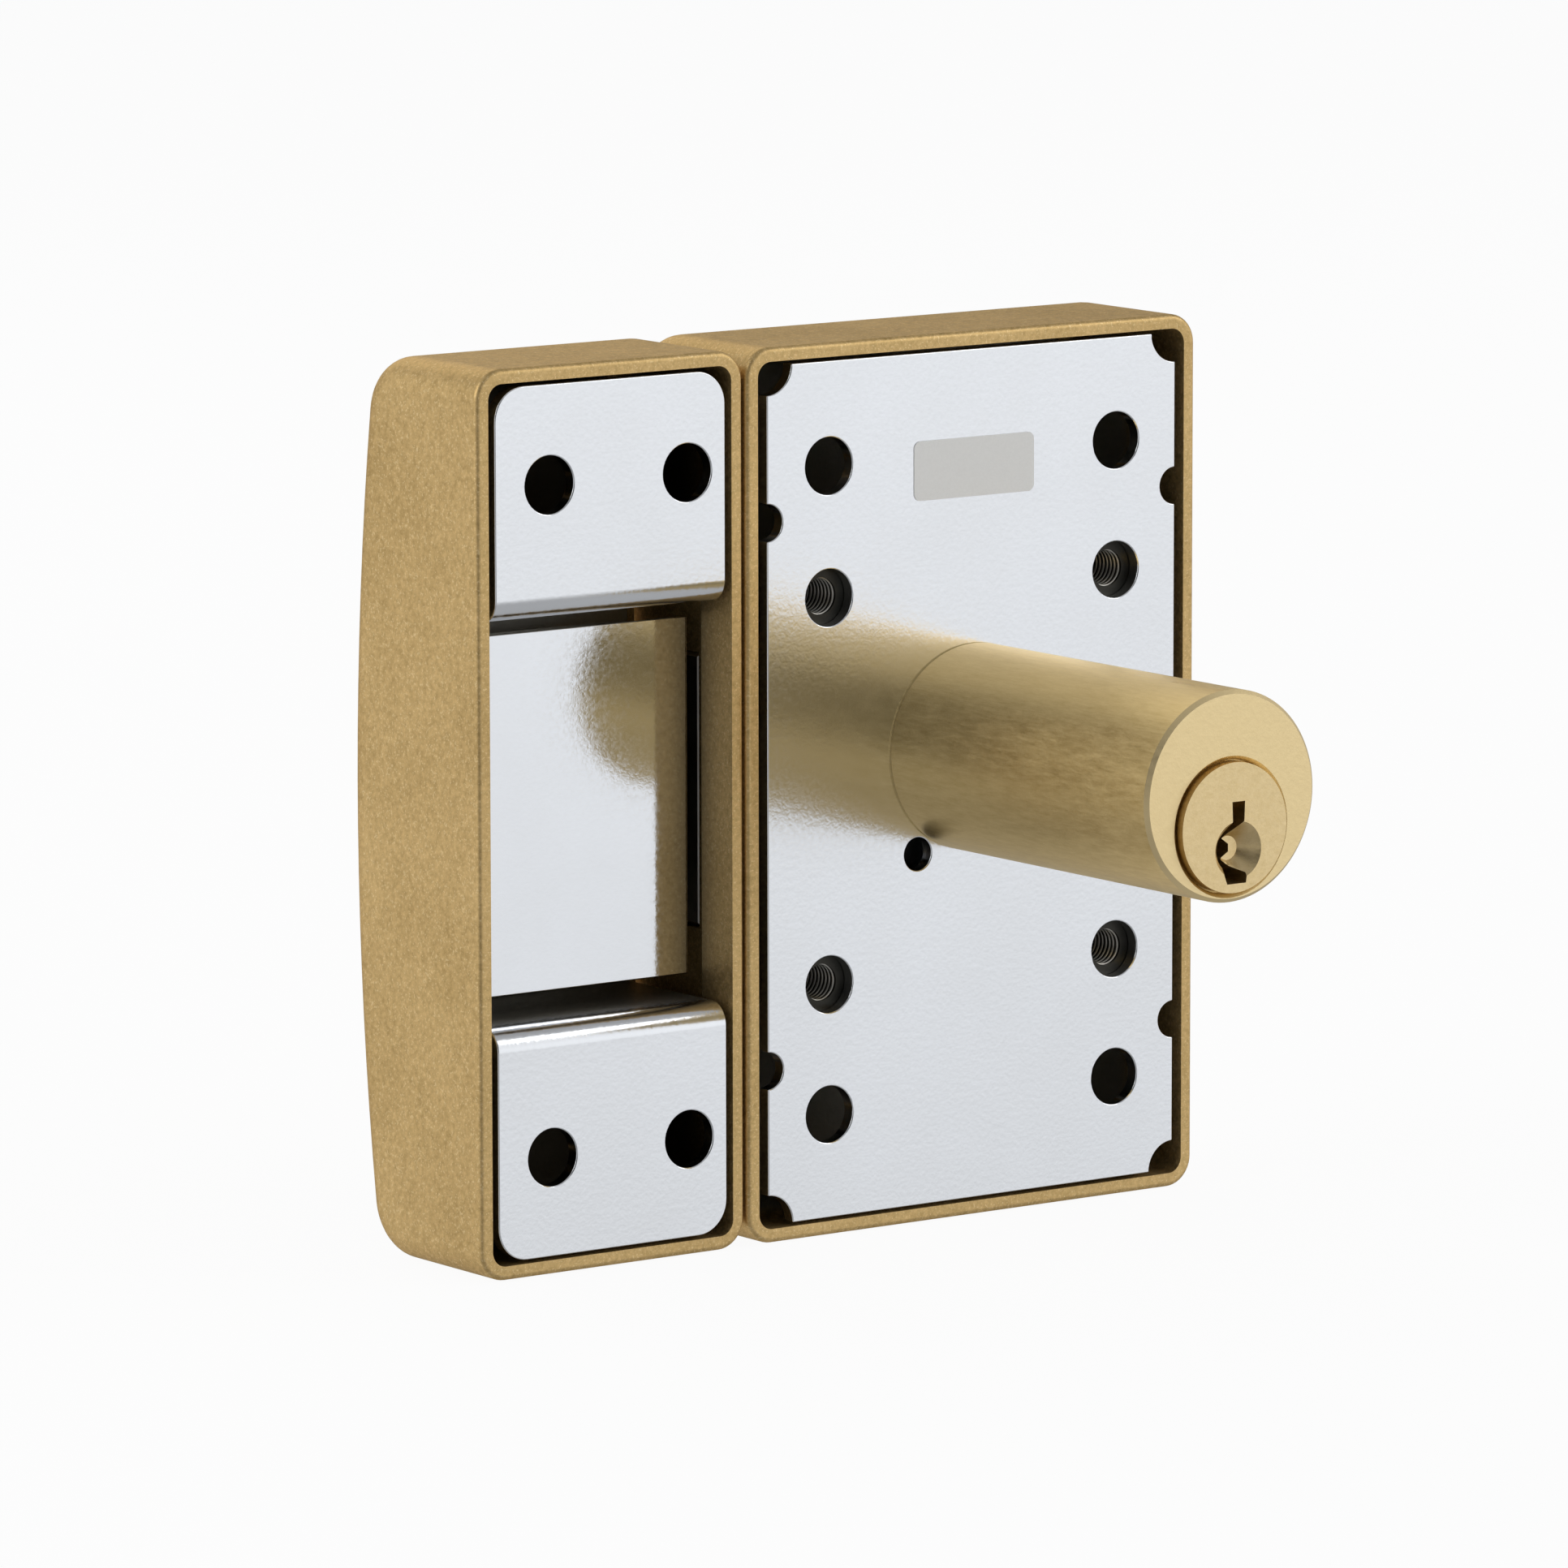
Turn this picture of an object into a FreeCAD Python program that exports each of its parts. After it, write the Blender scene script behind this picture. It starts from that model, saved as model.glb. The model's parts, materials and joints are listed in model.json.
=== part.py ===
"""Rim deadbolt with a key cylinder on both faces, with its strike box.

The lock case and the strike box are screwed to the room side of a door and of its frame.
Frame of the model, in millimetres:
  +Y points from the door into the room, and y = 0 is the face that lies on the door,
  -X is the way the bolt is thrown, from the case into the strike box,
  +Z is up, and the key turns about the Y axis.
The origin is the centre of the case's screw holes, on the door face.

One turn of the key turns a driver pinion. It turns a wheel, whose pinion moves the bolt's rack.
The key pins are drawn as a key lifts them, level with the edge of the plug, so that it can turn.
"""
import FreeCAD
import Part
import Sketcher
import math
import os


SIZES = {
    # Cover shells of the case and of the strike box
    "case_width": 75.0,
    "case_height": 120.0,
    "case_depth": 31.0,
    "crown_radius": 380.0,
    "crown_corner": 8.0,
    "outline_corner": 4.0,
    "side_wall": 1.9,
    "front_wall": 2.0,
    "rim_edge": 0.7,
    "inner_corner": 2.1,
    "strike_width": 42.5,
    "case_gap": 0.5,
    # Back plate of the case
    "plate_side_gap": 1.5,
    "plate_end_gap": 0.5,
    "plate_thickness": 2.0,
    "corner_notch": 4.0,
    "edge_notch": 2.5,
    "edge_notch_height": 36.7,
    "fixing_hole": 7.7,
    "fixing_width": 48.0,
    "inner_row_height": 52.0,
    "outer_row_height": 87.2,
    "label_width": 20.0,
    "label_height": 8.0,
    "label_thickness": 0.12,
    "label_corner": 1.0,
    "label_drop": 11.8,
    # Posts and screws between plate and cover
    "post_diameter": 9.0,
    "post_bore": 5.0,
    "post_boss": 12.0,
    "post_end": 26.0,
    "cover_screw": 4.9,
    "cover_screw_head": 9.4,
    "cover_screw_length": 14.0,
    "head_sink": 0.3,
    "recess_width": 0.9,
    "screw_clearance": 0.3,
    # Key cylinders
    "housing_diameter": 28.0,
    "housing_offset": 4.0,
    "housing_chamfer": 0.55,
    "housing_root_edge": 0.3,
    "outer_length": 55.6,
    "inner_face": 39.5,
    "inner_back": 12.0,
    "plug_diameter": 16.2,
    "plug_head": 17.2,
    "plug_head_seat": 1.6,
    "head_gap": 0.25,
    "head_mouth_edge": 0.5,
    "plug_proud": 0.8,
    "plug_neck": 13.6,
    "plug_groove": 11.6,
    "outer_plug_length": 25.6,
    "inner_plug_length": 23.0,
    "plug_web": 1.3,
    "clip_thickness": 0.9,
    "clip_diameter": 16.0,
    "clip_gap": 6.0,
    "plug_tail": 0.8,
    "rear_bore": 17.0,
    "running_gap": 0.05,
    "end_play": 0.1,
    "key_mouth": 7.6,
    "key_mouth_floor": 3.2,
    "key_mouth_depth": 2.4,
    "key_mouth_drop": 3.0,
    "key_mouth_side": 0.6,
    "keyway_depth": 21.3,
    # Warded outline of the keyway at ten heights, from its top to its foot
    "key_height_0": 3.4,
    "key_left_0": -0.4,
    "key_right_0": 1.7,
    "key_height_1": 0.8,
    "key_left_1": -0.3,
    "key_right_1": 1.6,
    "key_height_2": -0.5,
    "key_left_2": -0.9,
    "key_right_2": 0.8,
    "key_height_3": -1.7,
    "key_left_3": -2.0,
    "key_right_3": -0.3,
    "key_height_4": -2.5,
    "key_left_4": -2.1,
    "key_right_4": 0.8,
    "key_height_5": -3.5,
    "key_left_5": -2.2,
    "key_right_5": 0.8,
    "key_height_6": -4.4,
    "key_left_6": -2.1,
    "key_right_6": -0.7,
    "key_height_7": -5.3,
    "key_left_7": -1.4,
    "key_right_7": 0.4,
    "key_height_8": -6.1,
    "key_left_8": -1.7,
    "key_right_8": 2.1,
    "key_height_9": -7.4,
    "key_left_9": -1.2,
    "key_right_9": 1.9,
    # Pins of the cylinders
    "pin_first": 5.2,
    "pin_pitch": 3.6,
    "pin_diameter": 2.9,
    "pin_tip": 1.0,
    "pin_floor": 0.6,
    "bitting_step": 0.55,
    "shear_gap": 0.06,
    "pin_top_drop": 0.2,
    "driver_pin_length": 3.6,
    "pin_spring_wire": 0.32,
    "spring_gap": 0.1,
    "cap_length": 1.7,
    # Tailpiece and coupler
    "tail_width": 6.0,
    "tail_thickness": 1.5,
    "tail_end": 7.9,
    "tail_seat": 4.6,
    "slot_gap": 0.1,
    "coupler_diameter": 6.9,
    "coupler_travel": 2.2,
    "coupler_dog_width": 7.6,
    "coupler_dog_thickness": 1.4,
    "coupler_dog_length": 4.0,
    "coupler_wall": 1.4,
    "coupler_gap": 0.3,
    "coupler_bore": 3.2,
    "coupler_spring_wire": 0.35,
    "driver_spring_wall": 0.2,
    # Cylinder fastening
    "cylinder_hole_width": 18.6,
    "cylinder_hole_height": 19.6,
    "cylinder_screw": 4.0,
    "cylinder_screw_hole": 4.5,
    "cylinder_screw_head": 7.4,
    "cylinder_screw_head_height": 2.2,
    "cylinder_screw_depth": 11.0,
    "washer_diameter": 8.4,
    "washer_thickness": 0.8,
    "collar_diameter": 37.0,
    "collar_height": 2.0,
    "rosette_diameter": 36.0,
    "rosette_thickness": 1.6,
    "flange_diameter": 32.0,
    "flange_thickness": 2.0,
    "rosette_slope": 1.0,
    "nut_diameter": 35.0,
    "nut_thickness": 3.8,
    "nut_seat": 27.0,
    "nut_slot": 4.0,
    "nut_slot_depth": 2.0,
    "nut_boss_margin": 1.0,
    "collar_flare": 2.0,
    # Gear train
    "gear_module": 1.0,
    "driver_teeth": 12.0,
    "wheel_teeth": 36.0,
    "pinion_teeth": 10.0,
    "driver_start": 0.1,
    "driver_low": 4.6,
    "driver_high": 9.4,
    "driver_hub": 10.0,
    "driver_tip_hub": 8.0,
    "driver_tip_end": 12.4,
    "end_cap_wall": 2.0,
    "end_cap_neck": 2.0,
    "wheel_low": 5.0,
    "wheel_high": 8.6,
    "wheel_hole": 7.0,
    "wheel_hole_reach": 10.5,
    "pinion_low": 10.9,
    "pinion_high": 15.6,
    "pinion_neck": 8.0,
    "pinion_collar": 9.4,
    "pinion_foot": 0.5,
    "axle_diameter": 5.0,
    "axle_low": 2.6,
    "axle_high": 26.0,
    "axle_clip_width": 9.0,
    "axle_clip_thickness": 0.8,
    "axle_groove_depth": 0.6,
    "axle_boss": 11.0,
    "axle_boss_end": 17.0,
    "axle_washer": 10.0,
    "axle_washer_thickness": 0.9,
    # Bolt
    "bolt_height": 37.0,
    "bolt_low": 11.0,
    "bolt_high": 21.0,
    "bolt_inset": 0.2,
    "bolt_head_length": 22.8,
    "bolt_edge": 0.6,
    "arm_thickness": 4.0,
    "arm_top": 13.0,
    "arm_bottom": 18.0,
    "arm_start": 31.0,
    "arm_end": 34.3,
    "rack_first": 7.0,
    "rack_last": 28.0,
    "rack_step": 1.0,
    "rivet_diameter": 4.0,
    "rivet_margin": 3.5,
    "hard_pin_diameter": 4.0,
    "hard_pin_depth": 18.3,
    "hard_pin_inset": 0.4,
    "hard_pin_margin": 0.3,
    "window_gap": 0.1,
    "guide_gap": 0.2,
    "guide_thickness": 2.0,
    "guide_end": 12.0,
    "guide_low": 9.0,
    "guide_arm_gap": 1.0,
    # Rail that holds the bolt's arm
    "rail_gap": 0.1,
    "rail_wall": 1.6,
    "rail_lip": 2.3,
    "rail_web": 2.3,
    "rail_left": 12.0,
    "rail_right": 32.5,
    "rail_tab_left": 17.0,
    "rail_tab_top": 3.0,
    "rail_screw": 3.0,
    "rail_screw_head": 5.6,
    "rail_screw_head_height": 1.8,
    "rail_screw_depth": 8.0,
    "rail_screw_gap": 0.1,
    "rail_boss": 7.0,
    # Strike box
    "strike_window_low": 7.0,
    "strike_window_high": 25.0,
    "strike_window_height": 58.0,
    "bracket_left": 77.6,
    "bracket_right": 40.9,
    "bracket_thickness": 2.0,
    "bracket_pocket": 26.8,
    "bracket_depth": 22.4,
    "bracket_bend": 3.0,
    "bracket_corner": 4.5,
    "bracket_crease": 0.4,
    "strike_hole_first": 69.0,
    "strike_hole_second": 47.0,
    "strike_hole_height": 88.8,
    "keeper_depth": 8.8,
    "keeper_thickness": 1.6,
    "keeper_height": 48.0,
    "keeper_left": 76.5,
    "strike_screw": 3.9,
    "strike_screw_head": 7.8,
    "strike_screw_height": 28.0,
    "strike_screw_inset": 0.2,
    "strike_boss": 9.0,
}

# Cuts of the key, as steps above the lowest, from the mouth inwards
BITTING = (2, 4, 1, 3, 5)

KEYWAY_LEVELS = 10

# Tooth form shared by the gears and the rack, as shares of the module
PRESSURE_ANGLE = math.radians(25.0)
ADDENDUM = 0.85
DEDENDUM = 1.15
BACKLASH = 0.12

# The driver pinion's teeth stand at the point nearest the wheel, the wheel's gap faces them
DOWN = -math.pi / 2
UP = math.pi / 2


doc = FreeCAD.newDocument("RimDeadbolt")
sheet = doc.addObject("Spreadsheet::Sheet", "Sizes")
for row, (alias, value) in enumerate(SIZES.items(), start=1):
    sheet.set("A%d" % row, alias)
    sheet.set("B%d" % row, str(value))
    sheet.setAlias("B%d" % row, alias)
doc.recompute()


class Size:
    """A length as an expression of the sheet, with its present value in millimetres."""

    def __init__(self, text, value):
        self.text = text
        self.value = value

    def combined(self, sign, other, value):
        return Size("(%s %s %s)" % (self.text, sign, other.text), value)

    def __add__(self, other):
        other = size_of(other)
        return self.combined("+", other, self.value + other.value)

    def __radd__(self, other):
        return size_of(other) + self

    def __sub__(self, other):
        other = size_of(other)
        return self.combined("-", other, self.value - other.value)

    def __rsub__(self, other):
        return size_of(other) - self

    def __mul__(self, other):
        other = size_of(other)
        return self.combined("*", other, self.value * other.value)

    def __rmul__(self, other):
        return size_of(other) * self

    def __truediv__(self, other):
        other = size_of(other)
        return self.combined("/", other, self.value / other.value)

    def __neg__(self):
        return Size("(-%s)" % self.text, -self.value)


def size_of(number):
    """A plain number as a size."""
    if isinstance(number, Size):
        return number
    return Size("(%r)" % float(number), float(number))


class Sheet:
    """The sheet's sizes by name."""

    def named(self, name):
        return Size("Sizes." + name, float(sheet.get(name)))

    def __getattr__(self, name):
        return self.named(name)


d = Sheet()
parts = {}


def node(label, piece):
    """Keep a finished piece under the name of its file."""
    piece.Label = label
    parts[label] = piece
    return piece


def bind(piece, name, length):
    """Tie a property of a piece to a size."""
    piece.setExpression(name, size_of(length).text)


def place(piece, x, y, z):
    """Tie the place of a piece to three sizes."""
    bind(piece, "Placement.Base.x", x)
    bind(piece, "Placement.Base.y", y)
    bind(piece, "Placement.Base.z", z)


TURN = {
    "x": FreeCAD.Rotation(FreeCAD.Vector(0, 1, 0), 90),
    "y": FreeCAD.Rotation(FreeCAD.Vector(1, 0, 0), -90),
    "z": FreeCAD.Rotation(),
}


def along(axis, start, across):
    """The point that lies start along an axis and across the other two, in X, Y, Z order."""
    point = list(across)
    point.insert("xyz".index(axis), start)
    return point


def box(name, x, y, z):
    """A block between two sizes on each axis."""
    block = doc.addObject("Part::Box", name)
    bind(block, "Length", x[1] - x[0])
    bind(block, "Width", y[1] - y[0])
    bind(block, "Height", z[1] - z[0])
    place(block, x[0], y[0], z[0])
    return block


def rod(name, diameter, span, across, axis="y"):
    """A cylinder between two sizes along an axis."""
    cylinder = doc.addObject("Part::Cylinder", name)
    cylinder.Placement = FreeCAD.Placement(FreeCAD.Vector(), TURN[axis])
    bind(cylinder, "Radius", size_of(diameter) / 2)
    bind(cylinder, "Height", size_of(span[1]) - span[0])
    place(cylinder, *along(axis, span[0], across))
    return cylinder


def sleeve(name, diameter, wall, span, across, axis="y"):
    """A tube between two sizes along an axis, which stands for a hidden coil spring."""
    skin = rod(name + "_skin", diameter, span, across, axis)
    core = rod(name + "_core", size_of(diameter) - 2 * wall, span, across, axis)
    return cut(name, skin, core)


def cone(name, low_diameter, high_diameter, span, across, axis="y"):
    """A cone between two sizes along an axis."""
    taper = doc.addObject("Part::Cone", name)
    taper.Placement = FreeCAD.Placement(FreeCAD.Vector(), TURN[axis])
    bind(taper, "Radius1", size_of(low_diameter) / 2)
    bind(taper, "Radius2", size_of(high_diameter) / 2)
    bind(taper, "Height", size_of(span[1]) - span[0])
    place(taper, *along(axis, span[0], across))
    return taper


def fuse(name, *pieces):
    """Several solids as one."""
    joined = doc.addObject("Part::MultiFuse", name)
    joined.Shapes = list(pieces)
    joined.Refine = True
    return joined


def cut(name, base, *tools):
    """A solid with others taken out of it."""
    result = doc.addObject("Part::Cut", name)
    result.Base = base
    result.Tool = tools[0] if len(tools) == 1 else fuse(name + "_tools", *tools)
    return result


def common(name, first, second):
    """What two solids share."""
    shared = doc.addObject("Part::Common", name)
    shared.Base = first
    shared.Tool = second
    return shared


def group(name, pieces):
    """Like pieces that stay apart, as one set."""
    gathered = doc.addObject("Part::Compound", name)
    gathered.Links = list(pieces)
    return gathered


def made(name, shape):
    """A solid whose outline comes from a formula."""
    feature = doc.addObject("Part::Feature", name)
    feature.Shape = shape
    return feature


def edges_where(shape, test):
    """Names of the edges whose box of extents passes a test."""
    return ["Edge%d" % (i + 1) for i, edge in enumerate(shape.Edges) if test(edge.BoundBox)]


def near(first, second):
    """Whether two coordinates are the same."""
    return abs(first - second) < 0.01


def new_body(name):
    """An empty body."""
    return doc.addObject("PartDesign::Body", name)


def sketch_on(body, name, role, offset=None):
    """A sketch on one of the body's own planes."""
    plane = [feature for feature in body.Origin.OriginFeatures if feature.Role == role][0]
    sketch = body.newObject("Sketcher::SketchObject", name)
    sketch.AttachmentSupport = [(plane, "")]
    sketch.MapMode = "FlatFace"
    if offset is not None:
        bind(sketch, "AttachmentOffset.Base.z", offset)
    return sketch


def hold_point(sketch, geometry, end, across, up):
    """Hold a point of a sketch at two distances from the sketch's origin."""
    for kind, length in (("DistanceX", across), ("DistanceY", up)):
        length = size_of(length)
        index = sketch.addConstraint(Sketcher.Constraint(kind, -1, 1, geometry, end, length.value))
        sketch.setExpression("Constraints[%d]" % index, length.text)


def outline(sketch, points):
    """A closed outline of straight lines with every corner held."""
    corners = [FreeCAD.Vector(size_of(u).value, size_of(v).value, 0) for u, v in points]
    first = sketch.GeometryCount
    for i, corner in enumerate(corners):
        sketch.addGeometry(Part.LineSegment(corner, corners[(i + 1) % len(corners)]), False)
    for i, (u, v) in enumerate(points):
        following = first + (i + 1) % len(points)
        sketch.addConstraint(Sketcher.Constraint("Coincident", first + i, 2, following, 1))
        hold_point(sketch, first + i, 1, u, v)


def circle(sketch, diameter, across, up):
    """A circle with its centre held."""
    diameter = size_of(diameter)
    centre = FreeCAD.Vector(size_of(across).value, size_of(up).value, 0)
    ring = Part.Circle(centre, FreeCAD.Vector(0, 0, 1), diameter.value / 2)
    index = sketch.addGeometry(ring, False)
    held = sketch.addConstraint(Sketcher.Constraint("Diameter", index, diameter.value))
    sketch.setExpression("Constraints[%d]" % held, diameter.text)
    hold_point(sketch, index, 3, across, up)


def pad(body, sketch, length, backwards=False, both_ways=False):
    """Material along a sketch's normal."""
    feature = body.newObject("PartDesign::Pad", sketch.Name + "_pad")
    feature.Profile = sketch
    bind(feature, "Length", length)
    feature.Reversed = backwards
    feature.Midplane = both_ways
    doc.recompute()
    return feature


def pocket(body, sketch, length, forwards=False, both_ways=False):
    """Material taken out along a sketch's normal, and a test that some was."""
    before = body.Shape.Volume
    feature = body.newObject("PartDesign::Pocket", sketch.Name + "_pocket")
    feature.Profile = sketch
    bind(feature, "Length", length)
    feature.Reversed = forwards
    feature.Midplane = both_ways
    doc.recompute()
    if feature.Shape.Volume > before - 1e-6:
        raise RuntimeError(sketch.Name + " takes nothing out")
    return feature


def edged(body, test, kind, measure, length, name):
    """A fillet or a chamfer on the edges of a body that pass a test."""
    base = body.Tip
    feature = body.newObject("PartDesign::" + kind, name)
    feature.Base = (base, edges_where(base.Shape, test))
    bind(feature, measure, length)
    doc.recompute()
    return feature


def rounded(body, test, radius, name):
    """Fillet on the edges of a body that pass a test."""
    return edged(body, test, "Fillet", "Radius", radius, name)


def crown_profile(sketch, start, side, depth, radius):
    """Closed side view of a cover: two straight sides and the crowned front."""
    start, side, depth, radius = map(size_of, (start, side, depth, radius))
    centre = depth.value - radius.value
    lean = math.asin(side.value / radius.value)
    front = centre + radius.value * math.cos(lean)
    ring = Part.Circle(FreeCAD.Vector(centre, 0, 0), FreeCAD.Vector(0, 0, 1), radius.value)

    def line(y0, z0, y1, z1):
        return Part.LineSegment(FreeCAD.Vector(y0, z0, 0), FreeCAD.Vector(y1, z1, 0))

    height = side.value
    sketch.addGeometry(line(start.value, height, front, height), False)
    sketch.addGeometry(Part.ArcOfCircle(ring, -lean, lean), False)
    sketch.addGeometry(line(front, -height, start.value, -height), False)
    sketch.addGeometry(line(start.value, -height, start.value, height), False)
    for rule in (("Coincident", 0, 2, 1, 2), ("Coincident", 1, 1, 2, 1), ("Coincident", 2, 2, 3, 1),
                 ("Coincident", 3, 2, 0, 1), ("Horizontal", 0), ("Horizontal", 2), ("Vertical", 3),
                 ("PointOnObject", 1, 3, -1)):
        sketch.addConstraint(Sketcher.Constraint(*rule))
    for kind, where, length in (("Radius", (1,), radius),
                                ("DistanceX", (-1, 1, 1, 3), depth - radius),
                                ("DistanceX", (-1, 1, 0, 1), start),
                                ("DistanceY", (-1, 1, 0, 1), side),
                                ("DistanceY", (-1, 1, 2, 2), -side)):
        index = sketch.addConstraint(Sketcher.Constraint(kind, *where, length.value))
        sketch.setExpression("Constraints[%d]" % index, length.text)


def at_front_corner(side):
    """Test for a front edge that runs along X at the height of a cover's side."""
    def test(extents):
        flat = near(extents.YMin, extents.YMax) and near(extents.ZMin, extents.ZMax)
        long_enough = extents.XMax - extents.XMin > 5
        return flat and long_enough and extents.YMin > 5 and near(abs(extents.ZMin), side.value)
    return test


def at_plane(first, second):
    """Test for an edge that lies in one of two planes across X, clear of the door face."""
    def test(extents):
        flat = near(extents.XMin, extents.XMax)
        lies = near(extents.XMin, first.value) or near(extents.XMin, second.value)
        return flat and lies and extents.YMax > 0.01
    return test


def crowned_block(name, left, right, start, side, depth, radius, corner, outline_corner):
    """A solid block with a crowned front whose corners and outline are rounded."""
    body = new_body(name)
    profile = sketch_on(body, name + "_profile", "YZ_Plane", left)
    crown_profile(profile, start, side, depth, radius)
    pad(body, profile, right - left)
    rounded(body, at_front_corner(side), corner, name + "_corner")
    rounded(body, at_plane(left, right), outline_corner, name + "_outline_corner")
    return body


def cover_shell(name, left, right):
    """A die-cast cover, open to the door, with a crowned front and rounded outline."""
    side = d.case_height / 2
    wall = d.side_wall
    front = d.front_wall
    outside = crowned_block(name + "_outside", left, right, 0, side, d.case_depth,
                            d.crown_radius, d.crown_corner, d.outline_corner)
    rounded(outside, lambda extents: extents.YMax < 0.01, d.rim_edge, name + "_rim_edge")
    inside = crowned_block(name + "_inside", left + wall, right - wall, -front, side - wall,
                           d.case_depth - front, d.crown_radius - front, d.crown_corner - wall,
                           d.inner_corner)
    return cut(name, outside, inside)


case_right = d.case_width / 2
case_left = -case_right
strike_right = case_left - d.case_gap
strike_left = strike_right - d.strike_width
cover_inside = d.case_depth - d.front_wall
boss_root = cover_inside + 0.25 * d.front_wall
fixing_x = d.fixing_width / 2
post_z = d.inner_row_height / 2
outer_row_z = d.outer_row_height / 2
post_places = [(sign_x * fixing_x, sign_z * post_z) for sign_x in (-1, 1) for sign_z in (-1, 1)]
wheel_z = -(d.driver_teeth + d.wheel_teeth) * d.gear_module / 2
rack_line = wheel_z + d.pinion_teeth * d.gear_module / 2
bolt_left = case_left + d.bolt_inset
bolt_right = bolt_left + d.bolt_head_length
bolt_z = d.bolt_height / 2
arm_low = d.bolt_low + d.window_gap * 2
arm_high = arm_low + d.arm_thickness
rail_high = arm_high + d.rail_gap + d.rail_wall
rail_screw_z = -(d.rail_tab_top + d.rail_boss / 2 + d.end_play)
rail_screw_places = [(d.rail_tab_left + d.rail_boss / 2, rail_screw_z),
                     (d.rail_right - d.rail_boss / 2, rail_screw_z)]


def crown_at(height):
    """Depth of the crowned front at a height, near enough for a screw head."""
    return d.case_depth - height * height / (2 * d.crown_radius)


def flat_screw(name, head, shank, face, tip, across):
    """A countersunk screw driven from the room side, with a cross recess."""
    x, z = across
    sink = (head - shank) / 2
    top = cone(name + "_head", shank, head, (face - sink, face), across)
    stem = rod(name + "_stem", shank, (tip, face - sink), across)
    arm = head / 4
    half = d.recess_width / 2
    level = box(name + "_level", (x - arm, x + arm), (face - sink, face), (z - half, z + half))
    plumb = box(name + "_plumb", (x - half, x + half), (face - sink, face), (z - arm, z + arm))
    return cut(name, fuse(name + "_blank", top, stem), level, plumb)


def pan_screw(name, head, head_height, shank, seat, tip, across):
    """A screw with a round flat head on the room side of its seat, with a cross recess."""
    x, z = across
    top = rod(name + "_head", head, (seat, seat + head_height), across)
    stem = rod(name + "_stem", shank, (tip, seat), across)
    arm = head / 4
    half = d.recess_width / 2
    floor = seat + head_height / 3
    roof = seat + head_height
    level = box(name + "_level", (x - arm, x + arm), (floor, roof), (z - half, z + half))
    plumb = box(name + "_plumb", (x - half, x + half), (floor, roof), (z - arm, z + arm))
    return cut(name, fuse(name + "_blank", top, stem), level, plumb)


def screw_hole(name, head, shank, face, low, across):
    """The countersunk hole for a flat screw, with room round it."""
    wide = shank + d.screw_clearance
    mouth = head + d.screw_clearance
    sink = (mouth - wide) / 2
    through = rod(name + "_through", wide, (low, face - sink), across)
    flare = cone(name + "_flare", wide, mouth, (face - sink, face), across)
    mouth_cut = rod(name + "_mouth", mouth, (face, face + d.front_wall), across)
    return fuse(name, through, flare, mouth_cut)


# Case cover
shell = cover_shell("case_shell", case_left, case_right)
bosses = []
holes = []
post_face = crown_at(post_z) - d.head_sink
for number, (x, z) in enumerate(post_places):
    bosses.append(rod("post_boss_%d" % number, d.post_boss, (d.post_end, boss_root), (x, z)))
    holes.append(screw_hole("cover_hole_%d" % number, d.cover_screw_head, d.cover_screw,
                            post_face, d.post_end - 1, (x, z)))
bosses.append(rod("gear_boss", d.axle_boss, (d.axle_boss_end, boss_root), (0, wheel_z)))
holes.append(rod("axle_seat", d.axle_diameter, (d.axle_boss_end - 1, d.axle_high), (0, wheel_z)))
for number, place_xz in enumerate(rail_screw_places):
    bosses.append(rod("rail_boss_%d" % number, d.rail_boss, (rail_high, boss_root), place_xz))
    holes.append(rod("rail_hole_%d" % number, d.rail_screw,
                     (rail_high - 1, rail_high - d.rail_wall + d.rail_screw_depth + 1), place_xz))
guide_low = bolt_z + d.guide_gap
guide_x = (case_left + d.side_wall / 2, -d.guide_end)
bosses.append(box("upper_guide", guide_x, (d.guide_low, boss_root),
                  (guide_low, guide_low + d.guide_thickness)))
bosses.append(box("lower_guide", guide_x, (arm_high + d.guide_arm_gap, boss_root),
                  (-guide_low - d.guide_thickness, -guide_low)))
bosses.append(rod("nut_boss", d.nut_diameter + 2 * d.nut_boss_margin, (d.nut_seat, boss_root),
                  (0, d.housing_offset)))
collar_top = d.case_depth + d.collar_height
bosses.append(cone("collar", d.collar_diameter + 2 * d.collar_flare, d.collar_diameter,
                   (boss_root, collar_top), (0, d.housing_offset)))
holes.append(rod("cylinder_opening", d.housing_diameter + 4 * d.running_gap,
                 (d.nut_seat - 1, collar_top + 1), (0, d.housing_offset)))
holes.append(box("bolt_window", (case_left - 1, case_left + d.side_wall + 1),
                 (d.bolt_low - d.window_gap, d.bolt_high + d.window_gap),
                 (-bolt_z - d.window_gap, bolt_z + d.window_gap)))
node("case_cover", cut("case_cover", fuse("case_blank", shell, *bosses), *holes))

# Back plate, with its screw holes and the notches in its edges
plate = new_body("back_plate")
plate_x = d.case_width / 2 - d.side_wall - d.plate_side_gap
plate_z = d.case_height / 2 - d.side_wall - d.plate_end_gap
plate_outline = sketch_on(plate, "plate_outline", "XZ_Plane")
outline(plate_outline, [(-plate_x, -plate_z), (plate_x, -plate_z), (plate_x, plate_z),
                        (-plate_x, plate_z)])
pad(plate, plate_outline, d.plate_thickness, backwards=True)
plate_holes = sketch_on(plate, "plate_holes", "XZ_Plane")
for side_x in (-1, 1):
    for side_z in (-1, 1):
        circle(plate_holes, d.fixing_hole, side_x * fixing_x, side_z * post_z)
        circle(plate_holes, d.fixing_hole, side_x * fixing_x, side_z * outer_row_z)
        circle(plate_holes, d.cylinder_screw_hole, side_x * d.cylinder_hole_width / 2,
               side_z * d.cylinder_hole_height / 2)
circle(plate_holes, d.driver_hub + 2 * d.running_gap, 0, 0)
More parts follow.
